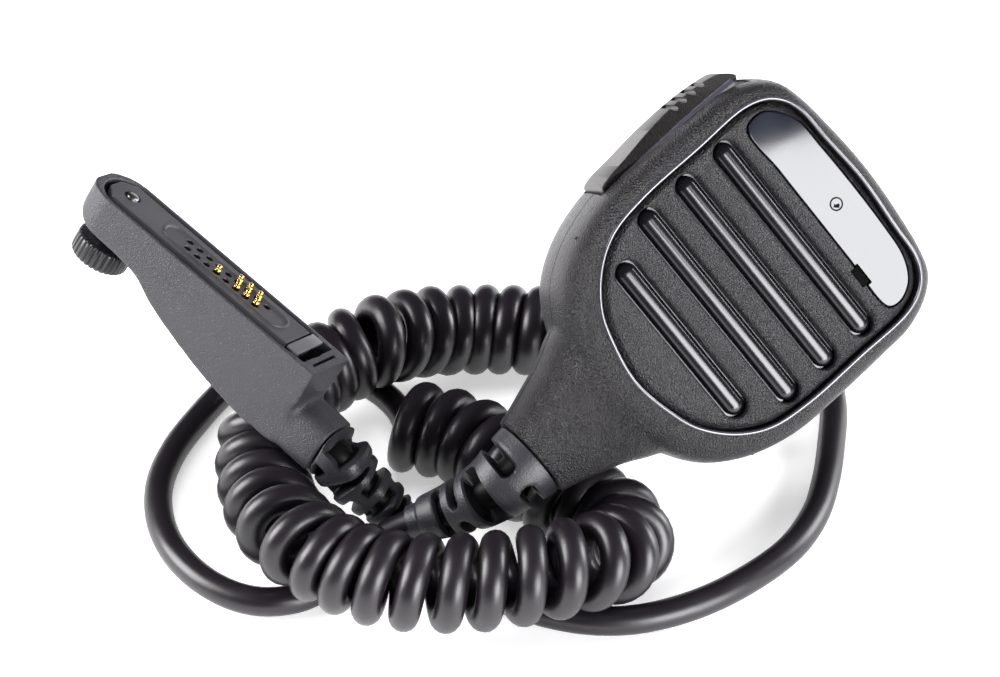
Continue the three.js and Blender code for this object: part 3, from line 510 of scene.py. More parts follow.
def combine(ob, other, how, keep=False):
    before = len(ob.data.vertices)
    m = ob.modifiers.new("b", "BOOLEAN")
    m.operation = how
    m.object = other
    m.solver = "MANIFOLD"
    dg = bpy.context.evaluated_depsgraph_get()
    made = bpy.data.meshes.new_from_object(ob.evaluated_get(dg))
    if len(made.vertices) == 0 or (len(made.vertices) == before and how != "UNION" and np.allclose(coords(ob)[:4], np.array([v.co for v in made.vertices[:4]]))):
        bpy.data.meshes.remove(made)
        m.solver = "EXACT"
        dg = bpy.context.evaluated_depsgraph_get()
        made = bpy.data.meshes.new_from_object(ob.evaluated_get(dg))
    old = ob.data
    ob.modifiers.clear()
    ob.data = made
    bpy.data.meshes.remove(old)
    if not keep:
        drop(other)
    return ob


def cut(ob, *others):
    for o in others:
        combine(ob, o, "DIFFERENCE")
    return ob


def join(ob, *others):
    for o in others:
        combine(ob, o, "UNION")
    return ob


def remesh(ob, voxel):
    m = ob.modifiers.new("r", "REMESH")
    m.mode = "VOXEL"
    m.voxel_size = voxel
    m.adaptivity = 0.0
    return bake(ob)


def relax(ob, rounds, factor=0.5, weight=None):
    me = ob.data
    co, n = coords(ob), len(me.vertices)
    e = np.zeros(len(me.edges) * 2, int)
    me.edges.foreach_get("vertices", e)
    e = e.reshape(-1, 2)
    deg = np.maximum(np.bincount(e.ravel(), minlength=n), 1)[:, None]
    w = factor if weight is None else factor * weight[:, None]
    for _ in range(rounds):
        acc = np.stack([np.bincount(e[:, 0], co[e[:, 1], k], n) + np.bincount(e[:, 1], co[e[:, 0], k], n) for k in range(3)], 1)
        co += w * (acc / deg - co)
    put(ob, co)
    return ob


def tree_of(ob):
    bm = bmesh.new()
    bm.from_mesh(ob.data)
    t = BVHTree.FromBMesh(bm)
    bm.free()
    return t


def seam_weight(ob, a, b, reach):
    """One where both surfaces are close, falling to nothing."""
    co = coords(ob)
    w = np.zeros(len(co))
    for i, p in enumerate(co):
        ha = a.find_nearest(p, reach)[3]
        if ha is None:
            continue
        hb = b.find_nearest(p, reach)[3]
        if hb is None:
            continue
        w[i] = max(0.0, 1 - (ha + hb) / reach)
    return np.minimum(1.0, w * 1.6)


def place(ob, matrix, body, slot, mat, *replaced, angle=34.0, name=None):
    """Moves a piece built in a local millimetre frame to its place, in metres, and gives it its body and finish."""
    put(ob, through(matrix, coords(ob)) / 1000.0)
    me = ob.data
    me.materials.clear()
    me.materials.append(MAT[mat] if isinstance(mat, str) else mat)
    index = np.zeros(len(me.polygons), int)
    # faces marked deep inside a boot's windows take the black rubber: painted shade
    if "recess_painted_shade" in me.attributes:
        me.materials.append(MAT["rubber"])
        v = np.zeros(len(me.vertices), np.float32)
        me.attributes["recess_painted_shade"].data.foreach_get("value", v)
        index = np.array([1 if min(v[i] for i in p.vertices) > 0.5 and len(p.vertices) < 40 else 0 for p in me.polygons])
    me.polygons.foreach_set("material_index", index)
    me.shade_smooth()
    me.set_sharp_from_angle(angle=math.radians(angle))
    if name:
        ob.name = name
    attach(ob, body)
    if replaced:
        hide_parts(*replaced)
    return ob


def bounded(points, centre, hx, hy, d, z):
    p = np.array(points, float)
    return np.c_[centre[0] + (p[:, 0] - centre[0]) * (hx - d) / hx, centre[1] + (p[:, 1] - centre[1]) * (hy - d) / hy, np.full(len(p), z)]


# ------------------------------------------------------------------ cord
coil_line = spline([np.array(p) + OFFSET for p in COIL_POINTS], 60)
arc = np.r_[0, np.cumsum(np.linalg.norm(np.diff(coil_line, axis=0), axis=1))]
PER_TURN = 30
theta = np.arange(0, 14220 + 1e-6, 360.0 / PER_TURN)
s_dense = np.linspace(1.3, 250.9, 6000)
th_dense = monotone(COIL_PHASE, s_dense)
s_at = np.interp(theta, th_dense, s_dense)
centre = np.array([np.interp(s_at, arc, coil_line[:, k]) for k in range(3)]).T
t_c = np.array([np.interp(s_at + 1.2, arc, coil_line[:, k]) - np.interp(s_at - 1.2, arc, coil_line[:, k]) for k in range(3)]).T
t_c /= np.linalg.norm(t_c, axis=1)[:, None]
side_c = np.cross(t_c, [0, 0, 1.0])
side_c /= np.linalg.norm(side_c, axis=1)[:, None]
up_c = np.cross(side_c, t_c)
th_r = np.radians(theta)[:, None]
helix = centre + STRAND_RADIUS * (np.sin(th_r) * side_c - np.cos(th_r) * up_c)


def joined(tail, bit):
    """A tail's control points run on into the first points of the coil."""
    return np.vstack([np.array(tail, float) + OFFSET, bit])


first = spline(joined([list((np.array(RELIEF_MIC[1]) + np.array(RELIEF_MIC[2])) / 2), RELIEF_MIC[2]] + TAIL_MIC[:-1], helix[[0, 4, 8]]), 24)
last = spline(joined([list((np.array(RELIEF_PLUG[1]) + np.array(RELIEF_PLUG[2])) / 2), RELIEF_PLUG[2]] + TAIL_PLUG[:-1], helix[[-1, -5, -9]]), 24)
cut_a = np.linalg.norm(first - helix[0], axis=1).argmin()
cut_b = np.linalg.norm(last - helix[-1], axis=1).argmin()
first = evenly(first[: cut_a + 1], step=1.6)[:-1]
last = evenly(last[: cut_b + 1], step=1.6)[:-1][::-1]
route = np.vstack([first, helix, last])
curve = bpy.data.curves.new("curly_cord", "CURVE")
curve.dimensions = "3D"
curve.bevel_depth = CORD_RADIUS / 1000.0
curve.bevel_resolution = 7
curve.use_fill_caps = True
curve.twist_mode = "MINIMUM"
sp = curve.splines.new("POLY")
sp.points.add(len(route) - 1)
sp.points.foreach_set("co", np.c_[route / 1000.0, np.ones(len(route))].ravel())
sp.use_smooth = True
cord = bpy.data.objects.new("curly_cord", curve)
scene.collection.objects.link(cord)
curve.materials.append(MAT["cord"])
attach(cord, "microphone")
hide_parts("cord_tail_mic", "cord_tail_plug", "coil_middle", "coil_bend", "coil_front", "coil_left", "coil_back")

# ------------------------------------------------------------------ microphone covers
half = [[0, 34.8], [12, 34.1], [19.5, 33.1], [24, 31.6], [27.3, 28], [29.7, 21.8], [30.1, 15], [30.3, 2], [30, -8], [28.5, -15], [26, -21], [22, -26.5], [17, -30], [12, -32], [6, -33.5], [0, -34]]


def mirrored(h):
    return h + [[-x, y] for x, y in h[1:-1][::-1]]


head = outline(mirrored(half), 260)


def head_at(d, z):
    return bounded(head, (0, 0), 30.2, 34.3, d, z)


panel_half = [[0, 31.2], [11.4, 30.5], [17.5, 30.2], [21, 29], [23.7, 26.5], [25.4, 22], [25.5, 10], [25.4, -4], [24, -12.4], [20.4, -18.4], [14.5, -23.3], [8.5, -25.5], [0, -26.9]]
panel = outline(mirrored(panel_half), 220)


def panel_at(d, z):
    return bounded(panel, (0, 2.1), 25.4, 29, d, z)


def neck_ring(y, a, b, count=120):
    t = np.arange(count) / count * 2 * math.pi
    c, s = np.cos(t), np.sin(t)
    e = 2 / 2.6
    return np.c_[a * np.sign(c) * np.abs(c) ** e, np.full(count, y), PARTING_Z + b * np.sign(s) * np.abs(s) ** e]


NECK = [[-20, 19.4, 8.7], [-26, 18.1, 9.1], [-30, 16.5, 9.5], [-33, 15.2, 9.7], [-38, 12.6, 9.4], [-43, 10.8, 9], [-47.5, 9.3, 8.6], [-50.3, 8.6, 8.3]]
head_profile = spline([[8.6, -28.5], [6.6, -28.4], [4.0, -27.1], [1.5, -24], [0, -19], [-0.3, -11], [0, -5.5], [0.5, -3], [1.5, -1.2], [2.9, -0.3], [4.6, -0.02]], 5)
body_a = loft("head_solid", [head_at(d, min(z, 0.0)) for d, z in head_profile])
neck_line = spline(NECK, 6)
body_b = loft("neck_solid", [neck_ring(*s) for s in neck_line])
tree_a, tree_b = tree_of(body_a), tree_of(body_b)
shell = remesh(join(body_a, body_b), 0.42)
relax(shell, 3, 0.5)
relax(shell, 8, 0.5, seam_weight(shell, tree_a, tree_b, 1.4))


def copy_of(ob, name):
    made = bpy.data.objects.new(name, ob.data.copy())
    scene.collection.objects.link(made)
    return made


def hollowing():
    cavity = loft("cavity", [head_at(d, z) for d, z in [[7, -26.4], [3.6, -23.4], [WALL, -19], [WALL, -11], [2.6, -4.7]]])
    cut(cavity, block("k", -40, -25.0, -11, 30, -40, 5))
    neck_room = loft("neck_room", [neck_ring(*s, count=64) for s in [[-24, 14.5, 7.3], [-33, 12.4, 7.7], [-40, 9.2, 7.1], [-47.4, 7.0, 6.3]]])
    return [
        cavity, neck_room,
        block("ptt_room", -40, -26.9, -8.6, 28, -20, -6, 0.6),
        rod("ptt_hole", "x", 2.1, -29, -24, PLUNGER_Y, -13),
        rod("pin_seat", "z", 0.95, -20.9, -5.1, *PTT_HINGE),
        rod("stem_hole", "y", 5.3, -51, -46, 0, PARTING_Z),
    ]


front = copy_of(shell, "front_cover_shell")
combine(front, block("upper", -60, 60, -60, 60, PARTING_Z + 0.15, 8), "INTERSECT")
cut(front, *hollowing())
for x, y in SCREWS:
    reach = 27.6 if x > 0 or y < 0 else 26.2
    s = 1 if x > 0 else -1
    join(front, rod("boss", "z", 3, -16.2, -4.9, x, y), block("rib", min(s * reach, x), max(s * reach, x), y - 1, y + 1, -10.7, -4.9))
for x, y in SCREWS:
    cut(front, rod("h", "z", 1.5, -16.8, -7, x, y, 24))
cut(front, loft("opening", [panel_at(d, z) for d, z in [[1.8, -7], [1.8, -2.75], [0.1, -2.74], [-0.1, -0.7], [-0.16, -0.45], [-0.3, -0.22], [-0.55, -0.07], [-0.95, 0.02], [-1.6, 0.4]]]))
place(front, MIC, "microphone", "case_plastic", "case", "front_cover", angle=40)

rear = shell
rear.name = "rear_cover_shell"
combine(rear, block("lower", -60, 60, -60, 60, -40, PARTING_Z - 0.15), "INTERSECT")
cut(rear, *hollowing())
for x, y in SCREWS:
    join(rear, rod("boss", "z", 3.3, -27.2, -19.4, x, y))
for x, y in SCREWS:
    cut(rear, rod("h", "z", 1.5, -28, -19, x, y, 24), lathe("c", [(0, -25.7), (2.9, -25.7), (2.9, -28.1), (3.1, -28.4), (3.6, -28.8), (0, -28.8)], x, y, 40))
place(rear, MIC, "microphone", "case_plastic", "case", "rear_cover", angle=40)

# ------------------------------------------------------------------ face
window = outline([[-22.3, 19.9], [-23.1, 23.9], [-21.4, 26.4], [-17.1, 29], [-10, 29.5], [0, 29.7], [10, 29.5], [16.3, 29], [19.8, 27.7], [22, 25.9], [23.4, 22.6], [22.6, 19.9], [10, 19.7], [0, 19.7], [-12, 19.7]], 150)


def window_at(d, z):
    return bounded(window, (0, 24.6), 23.2, 5, d, z)


grille = loft("grille_face", [panel_at(d, z) for d, z in [[0.35, -2.4], [0.35, -1.55], [0.45, -1.36], [1.15, -0.66], [1.3, -0.56], [1.5, -0.505], [1.7, -0.5], [1.8, -0.5]]])
lips = [[2.5, -4.0], [2.52, -1.75], [2.57, -1.3], [2.67, -0.97], [2.82, -0.74], [3.0, -0.59], [3.25, -0.5], [3.6, -0.3]]
for i, y in enumerate(SLOT_Y):
    cut(grille, loft("slot", [flat(stadium(-SLOT_HALF[i], SLOT_HALF[i], y, h), z) for h, z in lips]))
cut(grille, loft("window", [window_at(d, z) for d, z in [[0.02, -1.6], [0.0, -0.68], [-0.03, -0.58], [-0.15, -0.49], [-0.4, -0.3]]]))
cut(grille, block("notch", 12.1, 16.3, 18.5, 20.3, -4, 1, 0.25))
place(grille, MIC, "microphone", "case_plastic", "panel", "grille_panel", angle=50)

label = plate("label_window", window_at(0.3, 0), -1.3, -0.45, 0.12, 0.0)
cut(label, block("n", 11.8, 16.6, 18, 20.6, -4, 1, 0.2))
ring = lathe("gate", [(1.42, -0.40), (1.2, -0.60), (1.0, -0.40), (1.42, -0.40)], 0.3, 24.6, 64)
cut(label, ring)
cut(label, lathe("gate_dot", [(0, -0.475), (0.4, -0.47), (0.62, -0.40), (0, -0.40)], 0.3, 24.6, 40))
place(label, MIC, "microphone", "gloss_plastic", "label", "label_plate", angle=25)

ribs = loft("grille_ribs", [panel_at(2.25, -4.4), panel_at(2.25, -2.75)])
for i, y in enumerate(SLOT_Y):
    rings = [flat(stadium(-SLOT_HALF[i], SLOT_HALF[i], y, 2.1), -3.5)]
    for a in np.linspace(0, math.pi / 2 * 0.94, 14):
        rings.append(flat(stadium(-SLOT_HALF[i], SLOT_HALF[i], y, 2.1 * math.cos(a)), -2.2 + 1.4 * math.sin(a)))
    join(ribs, loft("rib", rings))
for y in (9.15, -0.55, -10.25):
    cut(ribs, loft("s", [flat(stadium(-15, 15, y, 1.6, 12), z) for z in (-6, 0)]))
place(ribs, MIC, "microphone", "gloss_plastic", "gloss", "grille_insert", angle=40)

bead_line = panel_at(-0.42, -0.2)
back = np.roll(bead_line, 1, 0)
fore = np.roll(bead_line, -1, 0)
bt = fore - back
bt /= np.linalg.norm(bt, axis=1)[:, None]
bn = np.c_[bt[:, 1], -bt[:, 0], np.zeros(len(bt))]
if (bn[0] @ (bead_line[0] - [0, 2.1, 0])) < 0:
    bn = -bn
bead = loft("bezel_lip", [np.array([bead_line[i] + bn[i] * 0.36 * math.cos(a) + np.array([0, 0, 0.26 * math.sin(a)]) for a in np.arange(14) / 14 * 2 * math.pi]) for i in range(len(bead_line))], closed_line=True)
# the lip is a real edge; its lighter bluish colour is a painted highlight line
place(bead, MIC, "microphone", "case_plastic", "lip", angle=80)
# a near-black block fills the notch in the grille and label: painted shade in the recess
notch_shade = block("notch_shade_block", 12.15, 16.25, 18.55, 20.25, -2.6, -0.72, 0.1)
place(notch_shade, MIC, "microphone", "rubber", "painted_shade_black", angle=30)

# ------------------------------------------------------------------ talk button
ptt_points = [[-28.9, -4.3], [-27.6, -4.9], [-27.2, -6.1], [-27.8, -7.3], [-29.2, -7.9], [-30.6, -7.9], [-31.3, -6.6], [-31.9, 0], [-32.4, 6], [-32.6, 11.5], [-32.5, 17], [-32.0, 22], [-31.3, 25.4], [-30.3, 26.6], [-29.3, 26.0], [-29.2, 20], [-29.2, 2]]
ptt = plate("talk_button", outline(ptt_points, 220), -19.4, -6.6, 0.55, 0.55, 5)
cut(ptt, rod("h", "z", 0.95, -30, 0, *PTT_HINGE))
wedge_rings = []
for y in np.linspace(-8.5, 28, 24):
    low = -6.62 - 8.2 * np.clip((y + 7.0) / 33, 0, 1) ** 0.85
    inner = -31.5 + 1.5 * np.clip((y + 7.0) / 12, 0, 1)
    outer = -31.45 - 1.2 * math.sin(math.pi * np.clip((y + 7) / 37, 0, 1))
    wedge_rings.append(np.array([[inner, y, -6.5], [inner + 0.02, y, -6.0], [-37, y, -6.0], [-37, y, low - 1.2], [outer - 0.5, y, low - 0.9], [outer, y, low]]))
cut(ptt, loft("wedge", wedge_rings))
for y in (14.2, 16.6, 19, 21.4):
    x = -32.1 + (y - 14) * 0.03
    cut(ptt, rod("g", "z", 0.62, -18.4, -7.6, x - 0.30, y, 24, 0.3))
place(ptt, MIC, "ptt_button", "case_plastic", "ptt", "ptt_button", angle=32)
# faces turned out of the microphone's front take the near-black copy as painted shade; the rest keep the painted lit
# grey
ptt.data.materials.append(MAT["talk_painted_shade"])
for poly in ptt.data.polygons:
    if float(np.array(MIC_TURN[2]) @ np.array(poly.normal)) > 0.22 and abs(float(np.array(MIC_TURN[1]) @ np.array(poly.normal))) < 0.4:
        poly.material_index = 1
trim_rings = []
for y in np.linspace(-3.5, 25.0, 30):
    w = 0.16 + 0.55 * np.clip((y + 3.5) / 24, 0, 1)
    x = -30.15 + 0.02 * max(0.0, y - 12) ** 1.25
    trim_rings.append(np.array([[x + 0.5, y, -6.45], [x - w, y, -6.45], [x - w, y, -6.3], [x - w + 0.1, y, -6.1], [x - 0.05, y, -5.2], [x + 0.5, y, -5.2]]))
trim = loft("talk_button_trim", trim_rings)
# the trim is a real ridge; its lighter bluish colour is a painted highlight and bluish reflection
place(trim, MIC, "microphone", "case_plastic", "lip", angle=50)

# ------------------------------------------------------------------ cover screws
for i, (x, y) in enumerate(SCREWS):
    s = lathe("cover_screw_piece_%d" % (i + 1), [(0, -27.9), (1.4, -27.88), (2.1, -27.7), (2.42, -27.35), (2.5, -26.9), (2.5, -26.05), (1.15, -26.0), (1.15, -9.4), (0.6, -9), (0, -9)], x, y, 40)
    cut(s, block("a", x - 1.5, x + 1.5, y - 0.32, y + 0.32, -28.4, -27.0, 0.1), block("b", x - 0.32, x + 0.32, y - 1.5, y + 1.5, -28.4, -27.0, 0.1))
    place(s, MIC, "microphone", "steel", "steel", "cover_screw_%d" % (i + 1))

# ------------------------------------------------------------------ belt clip
mount = lathe("clip_seat", [(0, -31.0), (9.6, -31.0), (10.2, -30.8), (10.6, -30.3), (10.6, -29.2), (10.9, -28.8), (0, -28.8)], 0, 0, 72)
cut(mount, rod("h", "z", 3.4, -35, -29.8, 0, 0))
place(mount, CLIP, "microphone", "case_plastic", "case", "clip_mount")
swivel = lathe("clip_turntable", [(0, -33.7), (9.3, -33.7), (10.0, -33.5), (10.4, -33.0), (10.4, -31.6), (10.1, -31.3), (3.1, -31.3), (3.1, -30.1), (0, -30.1)], 0, 0, 72)
for y0, y1 in ((5.5, 7.5), (-7.5, -5.5)):
    ear = plate("ear", rounded(-9.2, -1.2, -39.0, -32.4, 2.2, 8), y0, y1, 0.35)
    co = coords(ear)
    put(ear, np.c_[co[:, 0], co[:, 2], co[:, 1]])
    join(swivel, outward(ear))
cut(swivel, rod("h", "y", 1.3, -8, 8, -5, -37))
place(swivel, CLIP, "clip_base", "case_plastic", "case", "clip_swivel_plate")
pin = rod("clip_pin_piece", "y", 1.0, -7.8, 7.8, -5, -37, 32, 0.2)
place(pin, CLIP, "clip_base", "steel", "steel", "clip_pin")

arm_plan = np.vstack([rounded(-13, 40, -6, 6, 2.4, 8)])
arm_wide = plate("clip_lever", rounded(0.5, 40, -6, 6, 2.6, 8), -40.5, -38.3, 0.7)
arm_tail = plate("t", rounded(-13, 10, -4.9, 4.9, 1.8, 8), -40.5, -38.3, 0.7)
join(arm_wide, arm_tail, rod("hub", "y", 2.3, -4.9, 4.9, -5, -37, 40, 0.3), block("b", -7.3, -2.7, -4.9, 4.9, -40, -37, 0.2), block("tip", 34, 36.6, -5.4, 5.4, -39, -34.6, 0.7))
cut(arm_wide, rod("h", "y", 1.3, -9, 9, -5, -37), block("p", -3.6, 3.0, -3.2, 3.2, -38.9, -34, 0.2))
for x in (14, 18, 22, 26):
    cut(arm_wide, rod("g", "y", 0.7, -4.2, 4.2, x, -40.75, 24, 0.3))
for x in (-11.3, -9.6, -7.9):
    cut(arm_wide, rod("g", "y", 0.45, -3.8, 3.8, x, -40.6, 24, 0.2))
place(arm_wide, CLIP, "clip_arm", "case_plastic", "case", "clip_arm", angle=40)
strip = [(-1.8, -34.05), (2.1, -34.2), (2.4, -35.4), (2.3, -37.4), (1.6, -38.2), (-1.8, -38.25)]
line = spline([(x, z) for x, z in [(-1.7, -34.3), (1.2, -34.4), (2.05, -35.2), (2.05, -37.3), (1.2, -38.15), (-1.7, -38.25)]], 10)
t = np.gradient(line, axis=0)
t /= np.linalg.norm(t, axis=1)[:, None]
nrm = np.c_[-t[:, 1], t[:, 0]]
sec = [(-2.4, -0.14), (2.4, -0.14), (2.4, 0.14), (-2.4, 0.14)]
spring = loft("clip_spring_leaf", [[(p[0] + n[0] * w, y, p[1] + n[1] * w) for y, w in sec] for p, n in zip(line, nrm)])
place(spring, CLIP, "clip_base", "steel", "steel", "clip_spring")

# ------------------------------------------------------------------ strain reliefs
EYE = np.array([-32.1, -456.85, 417.8])


def relief(name, points, radii, windows, core, front, square=False, count=160, step=0.14):
    """A moulded boot: an outer sleeve with windows down to the inner tube, alternating by a quarter turn."""
    line = evenly(spline(points, 40), step=step)
    t = np.gradient(line, axis=0)
    t /= np.linalg.norm(t, axis=1)[:, None]
    look = np.array(front, float)
    face = look - (t @ look)[:, None] * t
    face /= np.linalg.norm(face, axis=1)[:, None]
    other = np.cross(t, face)
    s = np.r_[0, np.cumsum(np.linalg.norm(np.diff(line, axis=0), axis=1))]
    phi = np.arange(count) / count * 2 * math.pi
    big = np.interp(s, [a for a, _ in radii], [b for _, b in radii])
    r = np.repeat(big[:, None], count, 1)
    if square:
        edge = (np.abs(np.cos(phi)) ** 3 + np.abs(np.sin(phi)) ** 3) ** (-1 / 3)
        r = big[:, None] * (0.98 * edge[None, :] + 0.0)
        big2 = r.copy()
    else:
        big2 = r.copy()
    for k, (s0, s1, wide) in enumerate(windows):
        turn = math.pi / 2 if k % 2 == 0 else 0.0
        mid, hl = (s0 + s1) / 2, (s1 - s0) / 2
        for c in (turn, turn + math.pi):
            away = (phi - c + math.pi) % (2 * math.pi) - math.pi
            local = np.interp(mid, s, big)
            ax = np.abs(away) * local
            hw = math.radians(wide / 2) * local
            rr = hl * (0.45 if square else 0.98)
            qx = np.maximum(ax[None, :] - (hw - rr), 0)
            qy = np.maximum(np.abs(s - mid)[:, None] - (hl - rr), 0)
            dist = np.sqrt(qx**2 + qy**2) - rr
            mask = np.clip(0.5 - dist / 0.22, 0, 1)
            mask = mask * mask * (3 - 2 * mask)
            r = np.minimum(r, big2 + (core - big2) * mask)
            lip = np.exp(-(((dist - 0.25) / 0.18) ** 2)) * 0.10
            r = r - lip * (1 - mask)
    # faces sunk well into the windows are marked to take black rubber: painted shade inside the windows
    painted_shade_mask = r < big2 - 0.6
    rings = [line[i] + r[i][:, None] * (np.cos(phi)[:, None] * face[i] + np.sin(phi)[:, None] * other[i]) for i in range(len(line))]
    lead = [line[0] + (r[0] - 0.25)[:, None] * (np.cos(phi)[:, None] * face[0] + np.sin(phi)[:, None] * other[0]) - t[0] * 0.0]
    rings[0] = lead[0]
    ob = loft(name, rings)
    shade_attr = ob.data.attributes.new("recess_painted_shade", "FLOAT", "POINT")
    shade_attr.data.foreach_set("value", painted_shade_mask.astype(np.float32).ravel())
    return ob


mic_root = through(MIC, (0, -50.6, PARTING_Z))[0]
mic_root2 = through(MIC, (0, -54.3, PARTING_Z))[0]
relief_mic = relief(
    "mic_cord_boot", [mic_root, mic_root2, *[np.array(p) + OFFSET for p in RELIEF_MIC]],
    [(0, 7.9), (5.5, 7.5), (7.0, 7.05), (12, 6.3), (18, 5.4), (24, 4.6), (25.0, 4.3), (25.6, 3.6), (27.5, 3.45), (40, 3.4)],
    [(3.2, 5.7, 150), (8.7, 12.0, 156), (14.3, 16.6, 150), (19.0, 21.2, 150)], 3.05, MIC_TURN[2],
)
stem = lathe("stem", [(0, -50.9), (4.9, -50.9), (4.9, -47.2), (5.9, -47.1), (5.9, -45.4), (0, -45.4)], 0, 0, 48)
co = coords(stem)
put(stem, through(MIC, np.c_[co[:, 0], co[:, 2], co[:, 1] + PARTING_Z]))
join(relief_mic, outward(stem))
place(relief_mic, FREE, "microphone", "rubber", "relief", "mic_strain_relief", angle=45)

plug_root, plug_root2 = through(PLUG, (68.55, 0, -13.9))[0], through(PLUG, (71, 0, -14.0))[0]
relief_plug = relief(
    "plug_cord_boot", [plug_root, plug_root2, *[np.array(p) + OFFSET for p in RELIEF_PLUG]],
    [(0, 5.3), (0.8, 5.7), (3, 5.75), (7, 5.45), (12, 4.95), (16, 4.5), (19.0, 4.0), (19.5, 3.5), (21.2, 3.2), (30, 3.1)],
    [(0.9, 3.1, 150), (5.2, 7.5, 150), (9.4, 11.4, 148), (13.3, 15.2, 148), (17.0, 18.5, 144)], 3.0, -np.array(PLUG_TURN[1]), square=True,
)
stem = rod("stem", "x", 2.6, 55.4, 69.2, 0, -13.9)
put(stem, through(PLUG, coords(stem)))
join(relief_plug, stem)
place(relief_plug, FREE, "microphone", "rubber", "relief", "plug_strain_relief", angle=45)

# ------------------------------------------------------------------ radio connector
side = [[-0.6, -4.6], [0.4, -6.2], [3.2, -7.6], [17.9, -9], [23.9, -11.8], [28.4, -13.4], [32.8, -14.8], [39.8, -16.7], [45.9, -17.8], [51.7, -18.6], [57.4, -19.0], [60, -18.6]]
side_line = np.vstack([[-0.6, 0.0], spline(side, 8), [60, 0.0]])
wedge = loft("connector_body", [np.c_[side_line[:, 0], np.full(len(side_line), y), side_line[:, 1]] for y in (-7.0, 7.0)])


def plan_ring(d, z):
    a = np.linspace(math.pi / 2, 3 * math.pi / 2, 49)
    nose = np.c_[6.2 + (7.2 - d) * np.cos(a), (7.0 - d) * np.sin(a)]
    return flat(np.vstack([nose, [62, -(7.0 - d)], [62, 7.0 - d]]), z)


crease = []
for x in (-10.0, 70.0):
    zc = -10.5 + (x - 20) * 0.1875
    top, low = 7.0 - 0.11 * (zc - 5), 7.0 - 0.11 * (zc + 25)
    crease.append([[x, -top, 5], [x, top, 5], [x, low, -25], [x, -low, -25]])
combine(wedge, loft("sides", crease), "INTERSECT")
combine(wedge, loft("plan", [plan_ring(0.9, -20), plan_ring(0.3, -12), plan_ring(0, -6), plan_ring(0, 0.01)]), "INTERSECT")


def boss_ring(x, a, b, z, count=96):
    t = (np.arange(count) + 0.5) / count * 2 * math.pi
    c, s = np.cos(t), np.sin(t)
    e = 2 / 3
    return np.c_[np.full(count, x), a * np.sign(c) * np.abs(c) ** e, z + b * np.sign(s) * np.abs(s) ** e]


boss = loft("boss", [boss_ring(*r) for r in spline([[55, 5.9, 5.5, -13.6], [62, 5.95, 5.6, -13.7], [66, 5.95, 5.6, -13.8], [68.2, 5.85, 5.5, -13.9]], 6)])
tree_a, tree_b = tree_of(wedge), tree_of(boss)
housing = remesh(join(wedge, boss), 0.24)
relax(housing, 4, 0.5)
relax(housing, 70, 0.5, seam_weight(housing, tree_a, tree_b, 2.6))
cut(
    housing,
    loft("pocket", [flat(stadium(7.2, 50.4, 0, h, 24), z) for h, z in [(6.1, -5.2), (6.1, -0.35), (6.18, -0.12), (6.4, 0.06), (6.6, 0.6)]]),
    block("end", 50, 56.5, -5.6, 5.6, -5.2, 1, 0.3), block("slit", 57.7, 58.4, -4.2, 4.2, -1.4, 1),
    block("in", 22.5, 54, -5, 5, -8.6, -5), rod("kh", "z", 2.3, -25, 2, 7, 0), rod("ch", "x", 3.0, 52, 70, 0, -13.9), block("wire", 50, 53.4, -2.6, 2.6, -15, -8),
)
place(housing, PLUG, "microphone", "connector_plastic", "connector", "plug_housing", angle=38)

pins = [(21.7 + 2.54 * i + (1.1 if row else 0), PIN_ROWS[row]) for i, row in PINS]
empty = [(21.7 + 2.54 * i + (1.1 if row else 0), PIN_ROWS[row]) for i, row in EMPTY]
contact = plate("connector_face", evenly(np.array([[2.5, -1.9], [5.0, -4.6], [51.2, -4.6], [51.2, 4.6], [5.0, 4.6], [2.5, 1.9]]), count=280, closed=True), -2.3, 0.22, 0.18, 0.0)
join(contact, plate("pad", stadium(19, 45, 0, 3.1, 24), -1.4, 0.52, 0.24, 0.0))
cut(contact, loft("dish", [flat(stadium(19, 45, 0, h, 24), z) for h, z in [(2.35, 0.23), (2.42, 0.34), (2.58, 0.46), (2.8, 0.8)]]))
cut(contact, rod("k", "z", 1.75, -25, 2, 7, 0))
for x, y in pins + empty:
    cut(contact, lathe("h", [(0, -4), (0.8, -4), (0.8, 0.1), (0.83, 0.18), (0.92, 0.27), (0.92, 2), (0, 2)], x, y, 28))
place(contact, PLUG, "microphone", "connector_plastic", "plate", "contact_plate", angle=40)
# black fills at the bottom of the empty contact holes: painted shade
well_shade = None
for x, y in empty:
    w = lathe("contact_well_shade" if well_shade is None else "w", [(0, -2.1), (0.78, -2.1), (0.78, -0.05), (0, -0.05)], x, y, 24)
    well_shade = w if well_shade is None else join(well_shade, w)
place(well_shade, PLUG, "microphone", "rubber", "painted_shade_black", angle=40)
for i, (x, y) in enumerate(pins):
    p = lathe("gold_contact_%d" % (i + 1), [(0, -3.7), (0.6, -3.7), (0.6, 0.72), (0.66, 0.78), (0.66, 0.92), (0.58, 1.0), (0.40, 1.06), (0.36, 1.2), (0.42, 1.34), (0.52, 1.44), (0.55, 1.62), (0.5, 1.82), (0.36, 1.97), (0.16, 2.04), (0, 2.05)], x, y, 28)
    place(p, PLUG, "contact_pin_%d" % (i + 1), "gold", "gold", "contact_pin_%d" % (i + 1), angle=60)
seal = plate("connector_seal", stadium(7.2, 50.0, 0, 5.95, 24), -2.2, -0.62, 0.15)
cut(seal, loft("s", [flat(stadium(7.2, 50.0, 0, 5.5, 24), z) for z in (-3, 0)]), block("b", 46, 60, -5.55, 5.55, -3, 0))
